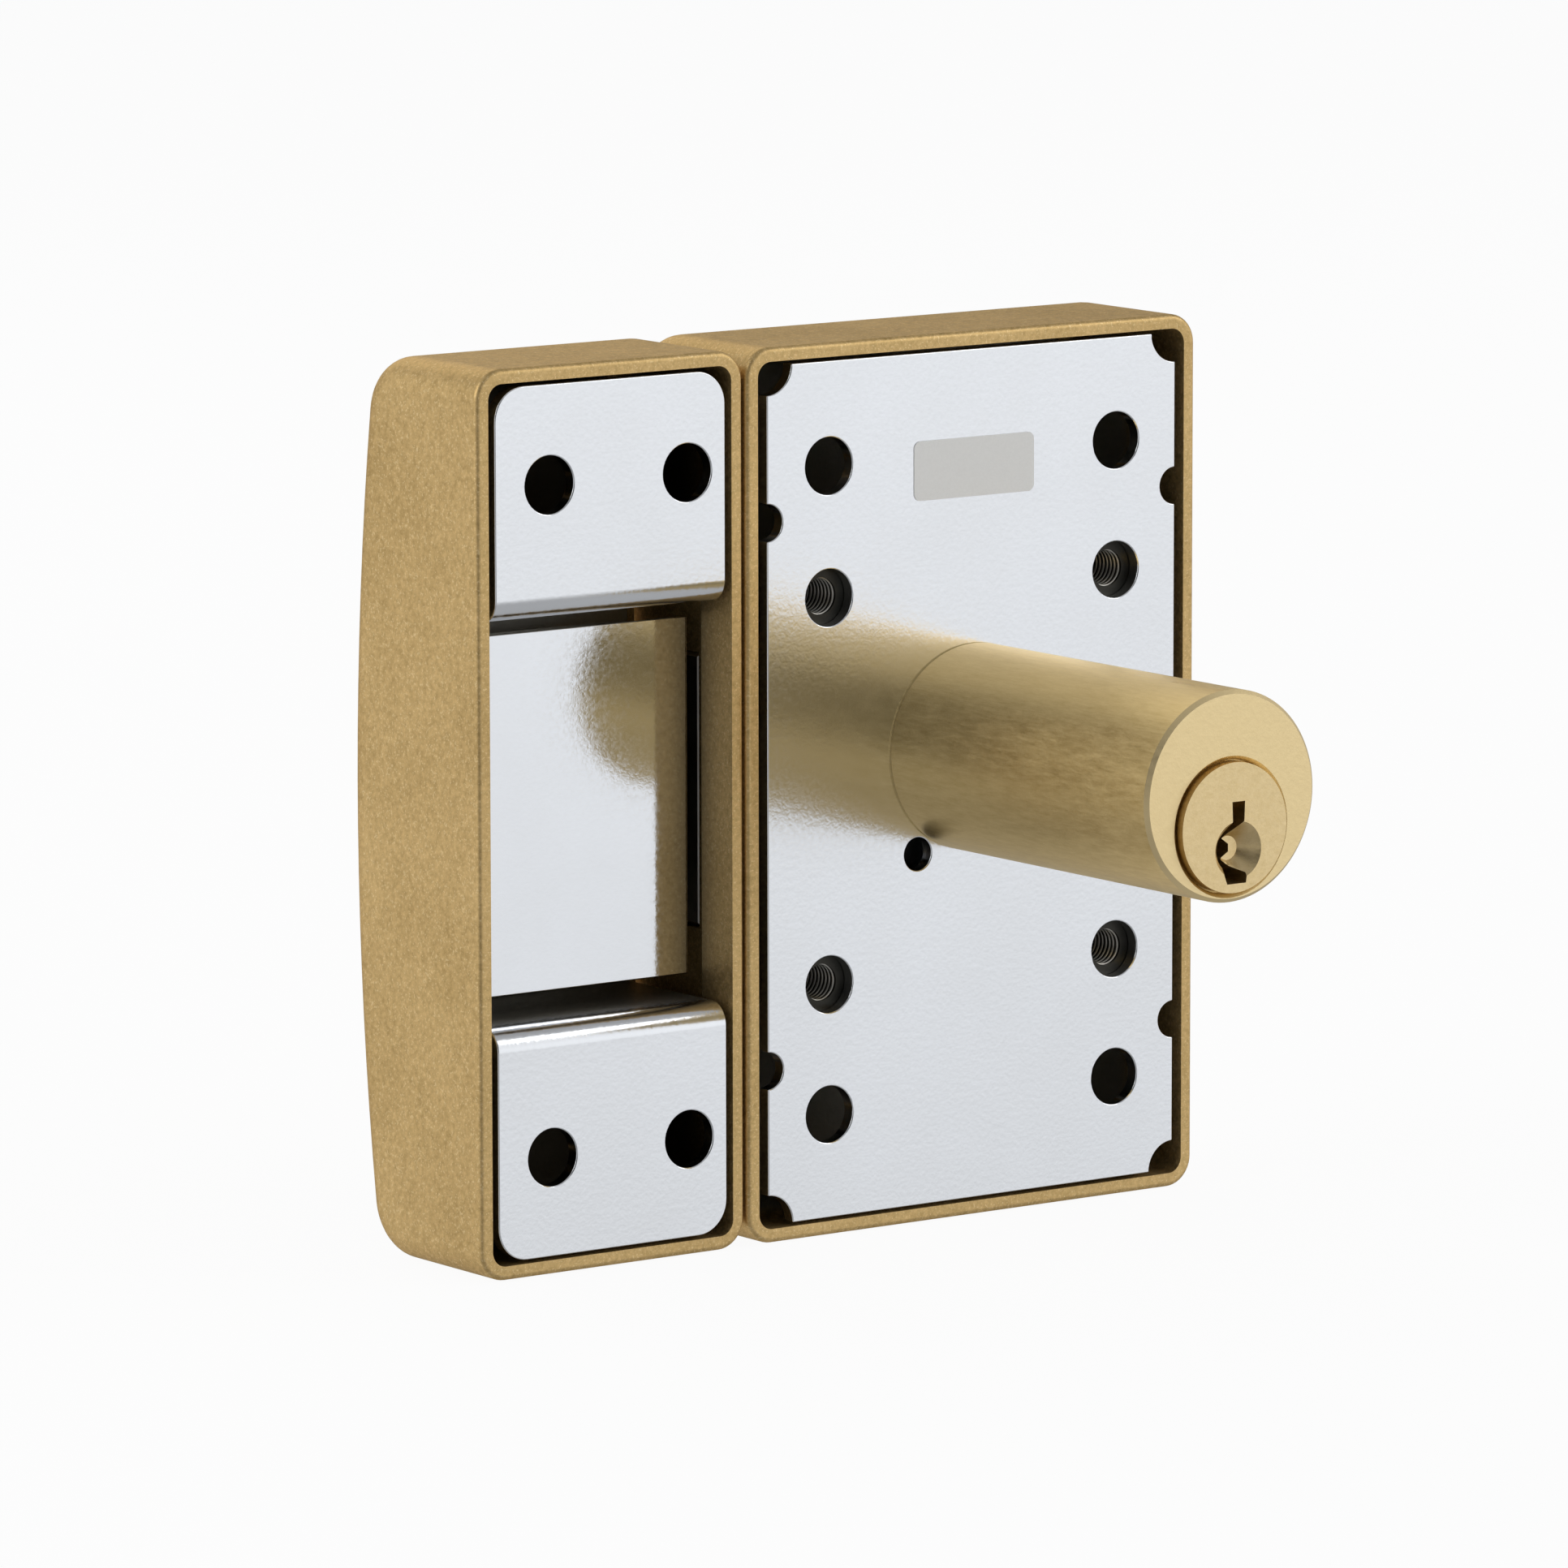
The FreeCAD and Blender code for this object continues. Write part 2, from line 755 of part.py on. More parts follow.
pocket(plate, plate_holes, 2 * d.plate_thickness, both_ways=True)
plate_notches = sketch_on(plate, "plate_notches", "XZ_Plane")
for side_x in (-1, 1):
    for side_z in (-1, 1):
        circle(plate_notches, 2 * d.corner_notch, side_x * plate_x, side_z * plate_z)
        circle(plate_notches, 2 * d.edge_notch, side_x * plate_x, side_z * d.edge_notch_height)
pocket(plate, plate_notches, 2 * d.plate_thickness, both_ways=True)
node("back_plate", plate)

# Paper label on the door side of the back plate
label = new_body("case_label")
label_outline = sketch_on(label, "label_outline", "XZ_Plane")
label_x = d.label_width / 2
label_high = plate_z - d.label_drop
label_low = label_high - d.label_height
outline(label_outline, [(-label_x, label_low), (label_x, label_low), (label_x, label_high),
                        (-label_x, label_high)])
pad(label, label_outline, d.label_thickness)
rounded(label, lambda extents: near(extents.XMin, extents.XMax) and near(extents.ZMin, extents.ZMax),
        d.label_corner, "label_corner")
node("case_label", label)

# Posts welded to the plate, and the screws that draw the cover onto them
posts = []
cover_screws = []
for number, (x, z) in enumerate(post_places):
    tube = rod("post_tube_%d" % number, d.post_diameter, (d.plate_thickness, d.post_end), (x, z))
    bore = rod("post_bore_%d" % number, d.post_bore, (0, d.post_end + 1), (x, z))
    posts.append(cut("post_%d" % number, tube, bore))
    cover_screws.append(flat_screw("cover_screw_%d" % number, d.cover_screw_head, d.cover_screw,
                                   post_face, post_face - d.cover_screw_length, (x, z)))
node("spacer_posts", group("spacer_posts", posts))
node("cover_screws", group("cover_screws", cover_screws))


class KeyCylinder:
    """One key cylinder: lengths along it count from its face towards the lock."""

    def __init__(self, name, face, inwards, plug_length):
        self.name = name
        self.face = face
        self.inwards = inwards
        self.plug_length = plug_length
        self.web_end = plug_length + d.plug_web
        self.clip_start = self.web_end + d.end_play
        self.neck_end = self.clip_start + d.clip_thickness + d.end_play + d.plug_tail

    def span(self, start, end):
        """A stretch of the cylinder, lowest y first."""
        if self.inwards > 0:
            return (self.face + start, self.face + end)
        return (self.face - end, self.face - start)

    def pin_row(self):
        """The place of each pin's axis along y."""
        return [self.face + self.inwards * (d.pin_first + i * d.pin_pitch)
                for i in range(len(BITTING))]

    def housing(self, rear, extras, cuts):
        """The round brass body with the bores for plug and pins."""
        name = self.name
        chamfer = d.housing_chamfer
        rim = d.housing_diameter
        across = (0, d.housing_offset)
        root = rear - d.housing_root_edge
        face_rim = rim - 2 * chamfer
        root_rim = rim - 2 * d.housing_root_edge
        face_edge, root_edge = (face_rim, rim), (rim, root_rim)
        if self.inwards < 0:
            face_edge, root_edge = (rim, face_rim), (root_rim, rim)
        bands = [rod(name + "_barrel", rim, self.span(chamfer, root), across),
                 cone(name + "_edge", *face_edge, self.span(0, chamfer), across),
                 cone(name + "_root", *root_edge, self.span(root, rear), across)]
        seat = d.plug_head_seat
        head_bore = d.plug_head + 2 * d.head_gap
        mouth_rim = head_bore + 2 * d.head_mouth_edge
        head_mouth = (mouth_rim, head_bore) if self.inwards > 0 else (head_bore, mouth_rim)
        bores = [
            rod(name + "_plug_bore", d.plug_diameter + 2 * d.running_gap,
                self.span(0, self.plug_length), (0, 0)),
            rod(name + "_head_bore", head_bore, self.span(-1, seat), (0, 0)),
            cone(name + "_head_mouth", *head_mouth, self.span(0, d.head_mouth_edge), (0, 0)),
            rod(name + "_neck_bore", d.plug_neck + 2 * d.running_gap,
                self.span(self.plug_length - 1, self.web_end + 1), (0, 0)),
            rod(name + "_rear_bore", d.rear_bore, self.span(self.web_end, rear + 1), (0, 0)),
        ]
        top = d.housing_offset + d.housing_diameter / 2
        for i, y in enumerate(self.pin_row()):
            bores.append(rod("%s_chamber_%d" % (name, i), d.pin_diameter + 2 * d.running_gap,
                             (0, top + 1), (0, y), axis="z"))
        return cut(name + "_housing", fuse(name + "_blank", *bands, *extras), *bores, *cuts)

    def plug(self, cuts):
        """The brass plug with its head, keyway, pin bores and the neck for its clip."""
        name = self.name
        end = self.neck_end
        solid = fuse(
            name + "_plug_blank",
            rod(name + "_plug_head", d.plug_head, self.span(-d.plug_proud, d.plug_head_seat), (0, 0)),
            rod(name + "_plug_body", d.plug_diameter, self.span(0, self.plug_length), (0, 0)),
            rod(name + "_plug_neck", d.plug_neck, self.span(self.plug_length - 1, end), (0, 0)))
        groove_span = self.span(self.clip_start, self.clip_start + d.clip_thickness + d.end_play)
        ring = rod(name + "_groove_out", d.plug_neck + 2, groove_span, (0, 0))
        core = rod(name + "_groove_in", d.plug_groove, groove_span, (0, 0))
        mouth_low = self.span(-d.plug_proud, d.key_mouth_depth - d.plug_proud)
        wide = d.key_mouth
        narrow = d.key_mouth_floor
        flare = (wide, narrow) if self.inwards > 0 else (narrow, wide)
        mouth = cone(name + "_key_mouth", *flare, mouth_low,
                     (self.inwards * d.key_mouth_side, -d.key_mouth_drop))
        tools = [cut(name + "_groove", ring, core), self.keyway(), mouth]
        for i, y in enumerate(self.pin_row()):
            tools.append(rod("%s_pin_bore_%d" % (name, i), d.pin_diameter + 2 * d.running_gap,
                             (0, d.plug_diameter), (0, y), axis="z"))
        return cut(name + "_plug", solid, *tools, *cuts)

    def keyway(self):
        """The warded slot for the key, seen alike from each cylinder's own face."""
        body = new_body(self.name + "_keyway")
        start = self.face - self.inwards * (d.plug_proud + 1)
        drawing = sketch_on(body, self.name + "_keyway_outline", "XZ_Plane", -start)
        sides = [("right", range(KEYWAY_LEVELS)), ("left", reversed(range(KEYWAY_LEVELS)))]
        outline(drawing, [(self.inwards * d.named("key_%s_%d" % (side, level)),
                           d.named("key_height_%d" % level))
                          for side, levels in sides for level in levels])
        pad(body, drawing, d.keyway_depth + d.plug_proud + 1, backwards=self.inwards > 0)
        return body

    def clip(self):
        """The open ring that holds the plug in."""
        name = self.name
        thickness = self.span(self.clip_start + d.end_play / 2,
                              self.clip_start + d.end_play / 2 + d.clip_thickness)
        ring = rod(name + "_clip_out", d.clip_diameter, thickness, (0, 0))
        core = rod(name + "_clip_in", d.plug_groove + 2 * d.running_gap, thickness, (0, 0))
        gap = d.clip_gap / 2
        opening = box(name + "_clip_gap", (-gap, gap), thickness, (-d.clip_diameter, size_of(0)))
        return cut(name + "_clip", ring, core, opening)

    def pins(self):
        """Key pins, driver pins, springs and caps, one of each in every chamber."""
        name = self.name
        shear = d.plug_diameter / 2
        top = d.housing_offset + d.housing_diameter / 2
        cap_low = top - d.cap_length
        driver_low = shear + d.running_gap + d.shear_gap
        driver_high = driver_low + d.driver_pin_length
        envelope = rod(name + "_cap_envelope", d.housing_diameter,
                       (self.span(0, self.web_end)), (0, d.housing_offset))
        sets = {"key_pins": [], "driver_pins": [], "pin_springs": [], "pin_caps": []}
        for i, (y, cut_height) in enumerate(zip(self.pin_row(), BITTING)):
            foot = d.pin_floor + cut_height * d.bitting_step
            tag = "%s_%d" % (name, i)
            tip = cone("tip_" + tag, d.pin_diameter - 2 * d.pin_tip, d.pin_diameter,
                       (foot, foot + d.pin_tip), (0, y), axis="z")
            stem = rod("stem_" + tag, d.pin_diameter,
                       (foot + d.pin_tip, shear - d.pin_top_drop), (0, y), axis="z")
            sets["key_pins"].append(fuse("key_pin_" + tag, tip, stem))
            sets["driver_pins"].append(rod("driver_pin_" + tag, d.pin_diameter,
                                           (driver_low, driver_high), (0, y), axis="z"))
            sets["pin_springs"].append(sleeve(
                "pin_spring_" + tag, d.pin_diameter - 2 * d.spring_gap, d.pin_spring_wire,
                (driver_high, cap_low), (0, y), "z"))
            plain = rod("cap_plain_" + tag, d.pin_diameter + 2 * d.running_gap,
                        (cap_low, top + 1), (0, y), axis="z")
            sets["pin_caps"].append(common("pin_cap_" + tag, plain, envelope))
        for kind, pieces in sets.items():
            node("%s_%s" % (name, kind), group("%s_%s" % (name, kind), pieces))


# Outer key cylinder, with the tailpiece that reaches the driver
outer = KeyCylinder("outer", -d.outer_length, 1, d.outer_plug_length)
screw_places = [(sign * d.cylinder_hole_width / 2, d.cylinder_hole_height / 2) for sign in (-1, 1)]
threaded = [rod("outer_thread_%d" % i, d.cylinder_screw,
                (-d.cylinder_screw_depth - 1, size_of(1)), spot)
            for i, spot in enumerate(screw_places)]
tail_x = d.tail_thickness / 2
tail_z = d.tail_width / 2
tail_start = outer.face + outer.neck_end - d.tail_seat
tail_slot = box("outer_tail_slot", (-tail_x, tail_x), (tail_start, tail_start + 2 * d.tail_seat),
                (-tail_z, tail_z))
node("outer_housing", outer.housing(d.outer_length, [], threaded))
node("outer_plug", outer.plug([tail_slot]))
node("outer_clip", outer.clip())
outer.pins()
node("outer_tailpiece", box("outer_tailpiece", (-tail_x, tail_x), (tail_start, d.tail_end),
                            (-tail_z, tail_z)))
screws = []
washers = []
head_seat = d.plate_thickness + d.washer_thickness
for i, spot in enumerate(screw_places):
    screws.append(pan_screw("cylinder_screw_%d" % i, d.cylinder_screw_head,
                            d.cylinder_screw_head_height, d.cylinder_screw, head_seat,
                            -d.cylinder_screw_depth, spot))
    ring = rod("washer_ring_%d" % i, d.washer_diameter, (d.plate_thickness, head_seat), spot)
    core = rod("washer_core_%d" % i, d.cylinder_screw_hole, (size_of(0), head_seat + 1), spot)
    washers.append(cut("washer_%d" % i, ring, core))
node("cylinder_screws", group("cylinder_screws", screws))
node("cylinder_washers", group("cylinder_washers", washers))

# Inner key cylinder, clamped in the cover by a ring nut behind and its flange in front
inner = KeyCylinder("inner", d.inner_face, -1, d.inner_plug_length)
rosette_top = collar_top + d.rosette_thickness
flange = rod("inner_flange", d.flange_diameter, (rosette_top, rosette_top + d.flange_thickness),
             (0, d.housing_offset))
inner_rear = d.inner_face - d.inner_back
coupler_back = d.inner_face - d.keyway_depth
coupler_mouth = d.inner_face - inner.neck_end
dog_x = d.coupler_dog_thickness / 2
dog_z = d.coupler_dog_width / 2
dog_low = d.driver_tip_end + 5 * d.slot_gap
dog_high = dog_low + d.coupler_dog_length
coupler_cuts = [
    rod("coupler_seat", d.coupler_diameter + 2 * d.running_gap, (coupler_mouth - 1, coupler_back),
        (0, 0)),
    box("coupler_slot", (-dog_x - d.slot_gap, dog_x + d.slot_gap),
        (coupler_mouth - 1, dog_high + 2 * d.slot_gap),
        (-dog_z - d.slot_gap, dog_z + d.slot_gap)),
]
node("inner_housing", inner.housing(inner_rear, [flange], []))
node("inner_plug", inner.plug(coupler_cuts))
node("inner_clip", inner.clip())
inner.pins()
nut_across = (0, d.housing_offset)
nut_span = (d.nut_seat - d.nut_thickness, d.nut_seat)
nut_blank = rod("nut_blank", d.nut_diameter, nut_span, nut_across)
nut_bore = rod("nut_bore", d.housing_diameter + 2 * d.running_gap, nut_span, nut_across)
slot_half = d.nut_slot / 2
slot_deep = d.nut_diameter / 2 - d.nut_slot_depth
nut_slots = [box("nut_slot_left", (-d.nut_diameter, -slot_deep), nut_span,
                 (d.housing_offset - slot_half, d.housing_offset + slot_half)),
             box("nut_slot_right", (slot_deep, d.nut_diameter), nut_span,
                 (d.housing_offset - slot_half, d.housing_offset + slot_half))]
node("inner_ring_nut", cut("inner_ring_nut", nut_blank, nut_bore, *nut_slots))
rosette_ring = cone("rosette_ring", d.rosette_diameter, d.flange_diameter + d.rosette_slope,
                    (collar_top, rosette_top), nut_across)
rosette_bore = rod("rosette_bore", d.housing_diameter + 4 * d.running_gap,
                   (collar_top - 1, rosette_top + 1), nut_across)
node("inner_rosette", cut("inner_rosette", rosette_ring, rosette_bore))

# Cap that closes the back of the inner cylinder and steadies the driver's tip
cap_disc = rod("end_cap_disc", d.rear_bore - 2 * d.running_gap,
               (d.inner_back, coupler_mouth - d.end_play), (0, 0))
cap_neck = rod("end_cap_neck", d.driver_tip_hub + 2 * d.end_cap_wall,
               (d.inner_back - d.end_cap_neck, d.inner_back), (0, 0))
cap_bore = rod("end_cap_bore", d.driver_tip_hub + 2 * d.running_gap,
               (d.inner_back - d.end_cap_neck - 1, coupler_mouth + 1), (0, 0))
node("inner_end_cap", cut("inner_end_cap", fuse("end_cap_blank", cap_disc, cap_neck), cap_bore))

# Coupler: the inner key's tip pushes its dogs into the driver
coupler_end = coupler_back - d.coupler_gap
coupler_stem = rod("coupler_stem", d.coupler_diameter, (dog_high, coupler_end), (0, 0))
coupler_dogs = box("coupler_dogs", (-dog_x, dog_x), (dog_low, dog_high + d.slot_gap),
                   (-dog_z, dog_z))
spring_seat = coupler_end - d.coupler_wall
coupler_hole = rod("coupler_hole", d.coupler_bore, (dog_low - 1, spring_seat), (0, 0))
node("inner_coupler", cut("inner_coupler", fuse("coupler_blank", coupler_stem, coupler_dogs),
                          coupler_hole))
spring_floor = d.driver_high - d.driver_spring_wall
node("coupler_spring", sleeve("coupler_spring", d.coupler_bore - 2 * d.spring_gap,
                              d.coupler_spring_wire, (spring_floor, spring_seat), (0, 0)))


def point(radius, angle, y=0.0):
    """A point at a radius and an angle from +X towards +Z."""
    return FreeCAD.Vector(radius * math.cos(angle), y, radius * math.sin(angle))


def toothed(teeth, module, first_tooth, low, high, centre):
    """A spur gear whose flanks are arcs through three points of the involute."""
    pitch_radius = teeth * module / 2
    base = pitch_radius * math.cos(PRESSURE_ANGLE)
    root = pitch_radius - DEDENDUM * module
    tip = pitch_radius + ADDENDUM * module
    start = max(base, root)
    half_pitch = math.pi / (2 * teeth) - BACKLASH / (4 * pitch_radius)
    involute = math.tan(PRESSURE_ANGLE) - PRESSURE_ANGLE

    def half_width(radius):
        slope = math.acos(min(1.0, base / radius))
        return half_pitch + involute - (math.tan(slope) - slope)

    levels = (start, (start + tip) / 2, tip)
    step = 2 * math.pi / teeth
    edges = []
    for i in range(int(teeth)):
        middle = first_tooth + i * step
        rising = [point(r, middle - half_width(r)) for r in levels]
        falling = [point(r, middle + half_width(r)) for r in reversed(levels)]
        foot_in = point(root, middle - half_width(start))
        foot_out = point(root, middle + half_width(start))
        next_foot = point(root, middle + step - half_width(start))
        if base > root:
            edges.append(Part.makeLine(foot_in, rising[0]))
        edges.append(Part.Arc(*rising).toShape())
        edges.append(Part.Arc(rising[2], point(tip, middle), falling[0]).toShape())
        edges.append(Part.Arc(*falling).toShape())
        if base > root:
            edges.append(Part.makeLine(falling[2], foot_out))
        edges.append(Part.Arc(foot_out, point(root, middle + step / 2), next_foot).toShape())
    solid = Part.Face(Part.Wire(edges)).extrude(FreeCAD.Vector(0, high - low, 0))
    solid.translate(FreeCAD.Vector(centre[0], low, centre[1]))
    return solid


# Driver pinion on the key's axis
module = d.gear_module.value
driver_teeth = made("driver_teeth", toothed(d.driver_teeth.value, module, DOWN,
                                            d.driver_low.value, d.driver_high.value, (0, 0)))
driver_blank = fuse(
    "driver_blank", driver_teeth,
    rod("driver_door_hub", d.driver_hub, (d.driver_start, d.driver_low), (0, 0)),
    rod("driver_room_hub", d.driver_tip_hub, (d.driver_high, d.driver_tip_end), (0, 0)))
gap_x = tail_x + d.slot_gap
gap_z = tail_z + d.slot_gap
driver_slot = box("driver_slot", (-gap_x, gap_x), (size_of(-1), d.tail_end + d.slot_gap),
                  (-gap_z, gap_z))
dog_slot = box("dog_slot", (-dog_x - d.slot_gap, dog_x + d.slot_gap),
               (dog_low - d.coupler_travel - 2 * d.slot_gap, d.driver_tip_end + 1),
               (-d.driver_tip_hub, d.driver_tip_hub))
driver_spring_hole = rod("driver_spring_hole", d.coupler_bore,
                         (spring_floor, d.driver_tip_end + 1), (0, 0))
node("driver_pinion", cut("driver_pinion", driver_blank, driver_slot, dog_slot,
                          driver_spring_hole))

# Wheel and its pinion, which turn together on a fixed axle
wheel_gap = UP + math.pi / d.wheel_teeth.value
wheel_solid = made("wheel_teeth_ring", toothed(d.wheel_teeth.value, module, wheel_gap,
                                               d.wheel_low.value, d.wheel_high.value,
                                               (0, wheel_z.value)))
wheel_bore = rod("wheel_bore", d.pinion_neck + 2 * d.running_gap,
                 (d.wheel_low - 1, d.wheel_high + 1), (0, wheel_z))
lightening = [rod("wheel_hole_%d" % i, d.wheel_hole, (d.wheel_low - 1, d.wheel_high + 1),
                  (d.wheel_hole_reach * math.cos(turn), wheel_z + d.wheel_hole_reach * math.sin(turn)))
              for i, turn in enumerate(math.radians(angle) for angle in (45, 135, 225, 315))]
node("wheel_gear", cut("wheel_gear", wheel_solid, wheel_bore, *lightening))
pinion_solid = made("pinion_teeth_ring", toothed(d.pinion_teeth.value, module, UP,
                                                 d.pinion_low.value, d.pinion_high.value,
                                                 (0, wheel_z.value)))
pinion_blank = fuse(
    "pinion_blank", pinion_solid,
    rod("pinion_neck", d.pinion_neck, (d.wheel_low - d.pinion_foot, d.wheel_high), (0, wheel_z)),
    rod("pinion_collar", d.pinion_collar, (d.wheel_high, d.pinion_low), (0, wheel_z)))
pinion_bore = rod("pinion_bore", d.axle_diameter + 2 * d.running_gap,
                  (d.axle_low, d.pinion_high + 1), (0, wheel_z))
node("rack_pinion", cut("rack_pinion", pinion_blank, pinion_bore))
clip_high = d.wheel_low - d.pinion_foot - d.end_play
clip_low = clip_high - d.axle_clip_thickness
clip_core = d.axle_diameter - 2 * d.axle_groove_depth
axle_pin = rod("axle_pin", d.axle_diameter, (d.axle_low, d.axle_high), (0, wheel_z))
axle_groove = cut("axle_groove",
                  rod("axle_groove_out", d.axle_diameter + 1, (clip_low, clip_high), (0, wheel_z)),
                  rod("axle_groove_in", clip_core, (clip_low, clip_high), (0, wheel_z)))
node("gear_axle", cut("gear_axle", axle_pin, axle_groove))
clip_gap_low = wheel_z - d.axle_clip_width
axle_clip = cut("axle_clip",
                rod("axle_clip_out", d.axle_clip_width, (clip_low, clip_high), (0, wheel_z)),
                rod("axle_clip_in", clip_core, (clip_low, clip_high), (0, wheel_z)),
                box("axle_clip_gap", (-clip_core / 2, clip_core / 2), (clip_low, clip_high),
                    (clip_gap_low, wheel_z)))
node("axle_clip", axle_clip)
washer_high = d.axle_boss_end
washer_low = washer_high - d.axle_washer_thickness
node("axle_washer", cut("axle_washer",
                        rod("axle_washer_out", d.axle_washer, (washer_low, washer_high),
                            (0, wheel_z)),
                        rod("axle_washer_in", d.axle_diameter + 2 * d.running_gap,
                            (washer_low, washer_high), (0, wheel_z))))

# Bolt head with a pocket for the arm and two loose hard pins against sawing
bolt_block = new_body("bolt_block")
bolt_outline = sketch_on(bolt_block, "bolt_outline", "XZ_Plane", -d.bolt_low)
outline(bolt_outline, [(bolt_left, -bolt_z), (bolt_right, -bolt_z), (bolt_right, bolt_z),
                       (bolt_left, bolt_z)])
pad(bolt_block, bolt_outline, d.bolt_high - d.bolt_low, backwards=True)
edged(bolt_block, lambda extents: near(extents.XMax, bolt_left.value), "Chamfer", "Size",
      d.bolt_edge, "bolt_front_edges")
arm_pocket = box("arm_pocket", (-d.arm_start, bolt_right + 1), (d.bolt_low - 1, arm_high),
                 (-d.arm_bottom, -d.arm_top))
rivet_z = -(d.arm_top + d.arm_bottom) / 2
pin_x = [bolt_left + d.hard_pin_diameter + d.hard_pin_margin,
         bolt_right - 2 * d.hard_pin_diameter]
rivet_x = [(pin_x[0] + pin_x[1]) / 2, bolt_right - d.rivet_margin]
rivet_holes = [rod("rivet_hole_%d" % i, d.rivet_diameter, (d.bolt_low - 1, d.bolt_high + 1),
                   (x, rivet_z)) for i, x in enumerate(rivet_x)]
hard_holes = [rod("hard_hole_%d" % i, d.hard_pin_diameter + 2 * d.running_gap,
                  (-bolt_z - 1, bolt_z + 1), (x, d.hard_pin_depth), axis="z")
              for i, x in enumerate(pin_x)]
node("bolt_head", cut("bolt_head", bolt_block, arm_pocket, *rivet_holes, *hard_holes))
node("bolt_rivets", group("bolt_rivets", [
    rod("bolt_rivet_%d" % i, d.rivet_diameter, (arm_low, d.bolt_high), (x, rivet_z))
    for i, x in enumerate(rivet_x)]))
node("bolt_hard_pins", group("bolt_hard_pins", [
    rod("bolt_hard_pin_%d" % i, d.hard_pin_diameter,
        (d.hard_pin_inset - bolt_z, bolt_z - d.hard_pin_inset),
        (x, d.hard_pin_depth), axis="z") for i, x in enumerate(pin_x)]))


def rack_points():
    """Outline of the bolt's arm, with teeth below that mesh with the pinion at x = 0."""
    pitch = math.pi * module
    line = rack_line.value
    tip = line - ADDENDUM * module
    root = line + DEDENDUM * module
    lean = math.tan(PRESSURE_ANGLE)
    half = pitch / 4 - BACKLASH / 4
    half_tip = half - ADDENDUM * module * lean
    half_root = half + DEDENDUM * module * lean
    first = math.ceil(-d.rack_first.value / pitch - 0.5)
    last = math.floor(d.rack_last.value / pitch - 0.5)
    points = [(-d.arm_start.value, -d.arm_top.value), (-d.arm_start.value, -d.arm_bottom.value),
              ((first + 0.5) * pitch - half_root - d.rack_step.value, -d.arm_bottom.value)]
    points.append((points[-1][0], root))
    for number in range(first, last + 1):
        centre = (number + 0.5) * pitch
        points += [(centre - half_root, root), (centre - half_tip, tip), (centre + half_tip, tip),
                   (centre + half_root, root)]
    end = d.arm_end.value
    points += [(end, root), (end, -d.arm_top.value)]
    return points


arm_outline = [FreeCAD.Vector(x, arm_low.value, z) for x, z in rack_points()]
arm_face = Part.Face(Part.makePolygon(arm_outline + arm_outline[:1]))
arm_solid = made("arm_solid", arm_face.extrude(FreeCAD.Vector(0, d.arm_thickness.value, 0)))
arm_holes = [rod("arm_hole_%d" % i, d.rivet_diameter, (arm_low - 1, arm_high + 1), (x, rivet_z))
             for i, x in enumerate(rivet_x)]
node("bolt_arm", cut("bolt_arm", arm_solid, *arm_holes))

# Rail: a channel over the back of the arm, screwed to two bosses of the cover
rail_low = arm_low - d.rail_gap - d.rail_wall
rail_seat = arm_high + d.rail_gap
rail_top = -d.arm_top + d.rail_gap + d.rail_web
rail_floor = -d.arm_top + d.rail_gap
rail_lip_low = rail_floor - d.rail_lip
rail_x = (-d.rail_left, d.rail_right)
rail_blank = fuse(
    "rail_blank",
    box("rail_web", rail_x, (rail_low, rail_high), (rail_floor, rail_top)),
    box("rail_door_lip", rail_x, (rail_low, rail_low + d.rail_wall), (rail_lip_low, rail_top)),
    box("rail_room_lip", rail_x, (rail_seat, rail_high), (rail_lip_low, rail_top)),
    box("rail_tab", (d.rail_tab_left, d.rail_right), (rail_seat, rail_high),
        (rail_floor, -d.rail_tab_top)))
rail_holes = [rod("rail_tab_hole_%d" % i, d.rail_screw + 2 * d.rail_screw_gap,
                  (rail_seat - 1, rail_high + 1), spot)
              for i, spot in enumerate(rail_screw_places)]
node("rack_rail", cut("rack_rail", rail_blank, *rail_holes))


def door_screw(name, head, head_height, shank, seat, tip, across):
    """A screw with its round head on the door side of its seat."""
    x, z = across
    top = rod(name + "_head", head, (seat - head_height, seat), across)
    stem = rod(name + "_stem", shank, (seat, tip), across)
    half = d.recess_width / 2
    slot = box(name + "_slot", (x - head, x + head), (seat - head_height, seat - head_height / 2),
               (z - half, z + half))
    return cut(name, fuse(name + "_blank", top, stem), slot)


node("rail_screws", group("rail_screws", [
    door_screw("rail_screw_%d" % i, d.rail_screw_head, d.rail_screw_head_height, d.rail_screw,
               rail_seat, rail_seat + d.rail_screw_depth, spot)
    for i, spot in enumerate(rail_screw_places)]))

# Strike box cover, with the opening that the bolt enters
strike_shell = cover_shell("strike_shell", strike_left, strike_right)
strike_middle = (strike_left + strike_right) / 2
strike_screw_z = d.strike_screw_height / 2
strike_face = crown_at(strike_screw_z) - d.head_sink
web_back = d.bracket_depth + d.bracket_thickness
strike_spots = [(strike_middle, sign * strike_screw_z) for sign in (-1, 1)]
strike_bosses = [rod("strike_boss_%d" % i, d.strike_boss, (web_back, boss_root), spot)
                 for i, spot in enumerate(strike_spots)]
strike_holes = [screw_hole("strike_hole_%d" % i, d.strike_screw_head, d.strike_screw, strike_face,
                           web_back - 1, spot) for i, spot in enumerate(strike_spots)]
window_z = d.strike_window_height / 2
strike_window = box("strike_window", (strike_right - d.side_wall - 1, strike_right + 1),
                    (d.strike_window_low, d.strike_window_high), (-window_z, window_z))
node("strike_cover", cut("strike_cover", fuse("strike_blank", strike_shell, *strike_bosses),
                         *strike_holes, strike_window))

